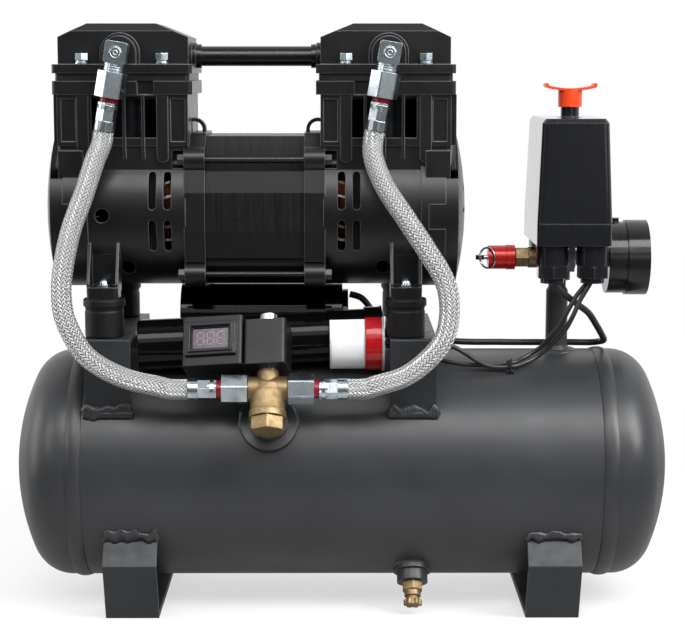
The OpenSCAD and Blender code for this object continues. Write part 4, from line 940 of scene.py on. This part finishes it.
def elbowPlugs(settings):
    low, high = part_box("head_elbows")
    middle = (low.x + high.x) / 2
    front = [p for p in nodePoints("head_elbows") if p.y < low.y + 0.1 * mm]
    foot, shoulder, crown = [v * mm for v in settings["heights"]]
    parts = []
    for group in ([p for p in front if p.x < middle], [p for p in front if p.x > middle]):
        centre = mean(group)
        centre.y = low.y
        for radius, half in settings["rings"]:
            r, w = radius * mm, half * mm
            profile = [(foot, r - w), (shoulder, r - w / 2), (crown, r), (shoulder, r + w / 2), (foot, r + w)]
            parts.append(turnedMesh(centre, Vector((0, -1, 0)), profile, 48))
    vertices, faces = joined(parts)
    piece = meshObject("elbowPlugs", vertices, faces, materials["zinc"])
    print("elbow plugs made")


elbowPlugs(plugSettings)

windingSettings = {
    "inside": (26.5, 41.5),  # inner and outer radius of the laced end windings, in mm
    "along": (52.5, 63.0),  # where they lie from the motor's middle
    "fill": 0.86,  # how much of that room the strands' middles use
    "strands": 22,
    "strand": 1.15,  # radius of a strand and of the lacing cord
    "cord": 1.05,
    "wander": 0.35,  # how far a strand weaves, in radians round the bundle
    "laceTurns": 26,
    "laceOver": 0.3,  # how far the lacing lies outside the bundle
    "cuts": (96, 720),  # straight cuts in a strand and in the lacing
}
lacingCord = coatedSurface("white lacing cord", "#d6cdc2", "#ece5da", 0.7, 0.5, 0.08, 0.1, 5)


def endWindings(settings):  # bundled wire and its lacing, seen through the slots
    low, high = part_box("motor_shaft")
    centre = (low + high) / 2
    inner, outer = [v * mm for v in settings["inside"]]
    start, stop = [v * mm for v in settings["along"]]
    middleRadius, half = (inner + outer) / 2, (outer - inner) / 2
    middleX, halfX = (start + stop) / 2, (stop - start) / 2
    fill, over = settings["fill"], settings["laceOver"] * mm
    strandCuts, laceCuts = settings["cuts"]
    luck = random.Random(5)
    for way, name in ((-1, "windingsLeft"), (1, "windingsRight")):
        parts = []
        for strand in range(settings["strands"]):
            startAngle = 2 * math.pi * strand / settings["strands"]
            weave = luck.uniform(0, 6.28)
            path = []
            for i in range(strandCuts + 1):
                turn = 2 * math.pi * i / strandCuts
                twist = startAngle + settings["wander"] * math.sin(3 * turn + weave)
                radius = middleRadius + fill * half * math.cos(twist)
                x = middleX + halfX * fill * math.sin(twist)
                path.append(centre + Vector((way * x, radius * math.cos(turn), radius * math.sin(turn))))
            parts.append(tubeMesh(path, settings["strand"] * mm, 7))
        vertices, faces = joined(parts)
        piece = meshObject(name, vertices, faces, materials["copper"])
        path = []
        for i in range(laceCuts + 1):
            turn = 2 * math.pi * i / laceCuts
            twist = settings["laceTurns"] * turn
            radius = middleRadius + (half + over) * math.cos(twist)
            x = middleX + (halfX + over) * math.sin(twist)
            path.append(centre + Vector((way * x, radius * math.cos(turn), radius * math.sin(turn))))
        vertices, faces = tubeMesh(path, settings["cord"] * mm, 6)
        piece = meshObject(name + "Lacing", vertices, faces, lacingCord)
    print("end windings made")


webSettings = {  # in mm from the motor's middle
    "along": (65.7, 70.2),
    "deep": (28, 40),
    "heights": ((1.6, 27.4), (-26.4, -4.6)),
}


def slotWebs(settings):  # inner wall of each housing, seen through the outer slots
    low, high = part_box("motor_shaft")
    centre = (low + high) / 2
    axes = (Vector((1, 0, 0)), Vector((0, 1, 0)), Vector((0, 0, 1)))
    start, stop = settings["along"]
    near, far = settings["deep"]
    parts = []
    for way in (-1, 1):
        for front in (-1, 1):
            for bottom, top in settings["heights"]:
                spot = centre + Vector((way * (start + stop), front * (near + far), bottom + top)) * (mm / 2)
                size = ((stop - start) * mm, (far - near) * mm, (top - bottom) * mm)
                parts.append(boxMesh(spot, axes, size))
    vertices, faces = joined(parts)
    piece = meshObject("slotWebs", vertices, faces, materials["pump_black"], smooth=False)
    print("slot webs made")


slotWebs(webSettings)
endWindings(windingSettings)

studioSettings = {
    "floorSize": 9.0,
    "floorWhite": 0.9,
    "behind": 1.0,  # brightness of the white room behind and beside the object
    "front": 0.1,  # brightness of the dark room in front
    "floorGlow": (-0.4, 1.6),  # depths between which the floor's glow grows
    "roomGlow": (-0.55, 0.35),  # the same for the room, by the direction looked in
    "fadeRadii": (0.25, 0.55),  # the floor takes shadows within the first and only glows past the second
    "shadowShare": 0.6,  # how much the floor glows where it takes shadows
    "aim": (0, 0, 0.22),
    "lamps": [
        # name, place, width, height, watts
        ("overhead", (0.2, -1.08, 1.4), 1.9, 0.6, 23),
        ("frontHigh", (0.4, -1.7, 1.15), 1.7, 0.6, 4.5),
        ("keyRight", (1.15, -0.75, 1.0), 0.6, 0.9, 19),
        ("keyLeft", (-1.2, -0.9, 0.95), 0.5, 0.7, 6),
        ("sideLeft", (-1.7, 0.1, 0.5), 0.7, 1.1, 7),
        ("frontLow", (0.8, -2.1, 0.5), 0.5, 0.4, 1.2),
    ],
}


def makeStudio(settings):
    half = settings["floorSize"] / 2
    front, behind = settings["front"], settings["behind"]
    mesh = bpy.data.meshes.new("floor")
    corners = [(-half, -half, 0), (half, -half, 0), (half, half, 0), (-half, half, 0)]
    mesh.from_pydata(corners, [], [(0, 1, 2, 3)])
    floor = bpy.data.objects.new("floor", mesh)
    bpy.context.scene.collection.objects.link(floor)
    material, tree, shader, place = newMaterial("studio floor white")
    white = settings["floorWhite"]
    base = {"Base Color": (white, white, white, 1), "Roughness": 0.8, "Specular IOR Level": 0.1}
    setInputs(tree, shader, base)
    seen = addNode(tree, "ShaderNodeLightPath").outputs["Is Camera Ray"]
    forward = addNode(tree, "ShaderNodeSeparateXYZ", {0: place}).outputs[1]
    bright = mapRange(tree, forward, *settings["floorGlow"], front, behind)
    strength = mathNode(tree, "MAXIMUM", bright, seen)
    glow = addNode(tree, "ShaderNodeEmission", {"Color": (1, 1, 1, 1), "Strength": strength})
    reach = addNode(tree, "ShaderNodeVectorMath", {0: place}, operation="LENGTH").outputs["Value"]
    fade = mapRange(tree, reach, *settings["fadeRadii"], settings["shadowShare"], 1.0)
    mix = addNode(tree, "ShaderNodeMixShader", {0: fade, 1: shader.outputs[0], 2: glow.outputs[0]})
    out = next(n for n in tree.nodes if n.type == "OUTPUT_MATERIAL")
    tree.links.new(mix.outputs[0], out.inputs[0])
    mesh.materials.append(material)
    world = bpy.data.worlds.new("studio")
    bpy.context.scene.world = world
    world.use_nodes = True
    tree = world.node_tree
    tree.nodes.clear()
    direction = addNode(tree, "ShaderNodeTexCoord").outputs["Generated"]
    way = addNode(tree, "ShaderNodeSeparateXYZ", {0: direction})
    strength = mapRange(tree, way.outputs[1], *settings["roomGlow"], front, behind)
    seenBackdrop = addNode(tree, "ShaderNodeBackground", {"Color": (1, 1, 1, 1), "Strength": 1.0})
    light = addNode(tree, "ShaderNodeBackground", {"Color": (1, 1, 1, 1), "Strength": strength})
    ray = addNode(tree, "ShaderNodeLightPath").outputs["Is Camera Ray"]
    both = addNode(tree, "ShaderNodeMixShader", {0: ray, 1: light.outputs[0], 2: seenBackdrop.outputs[0]})
    out = addNode(tree, "ShaderNodeOutputWorld")
    tree.links.new(both.outputs[0], out.inputs[0])
    for name, place, width, height, power in settings["lamps"]:
        data = bpy.data.lights.new(name, "AREA")
        data.shape = "RECTANGLE"
        data.size = width
        data.size_y = height
        data.energy = power
        lamp = bpy.data.objects.new(name, data)
        lamp.location = place
        aim = Vector(settings["aim"]) - Vector(place)
        lamp.rotation_euler = aim.to_track_quat("-Z", "Y").to_euler()
        bpy.context.scene.collection.objects.link(lamp)
    bpy.context.scene.view_settings.view_transform = "Standard"
    print("studio made")


makeStudio(studioSettings)
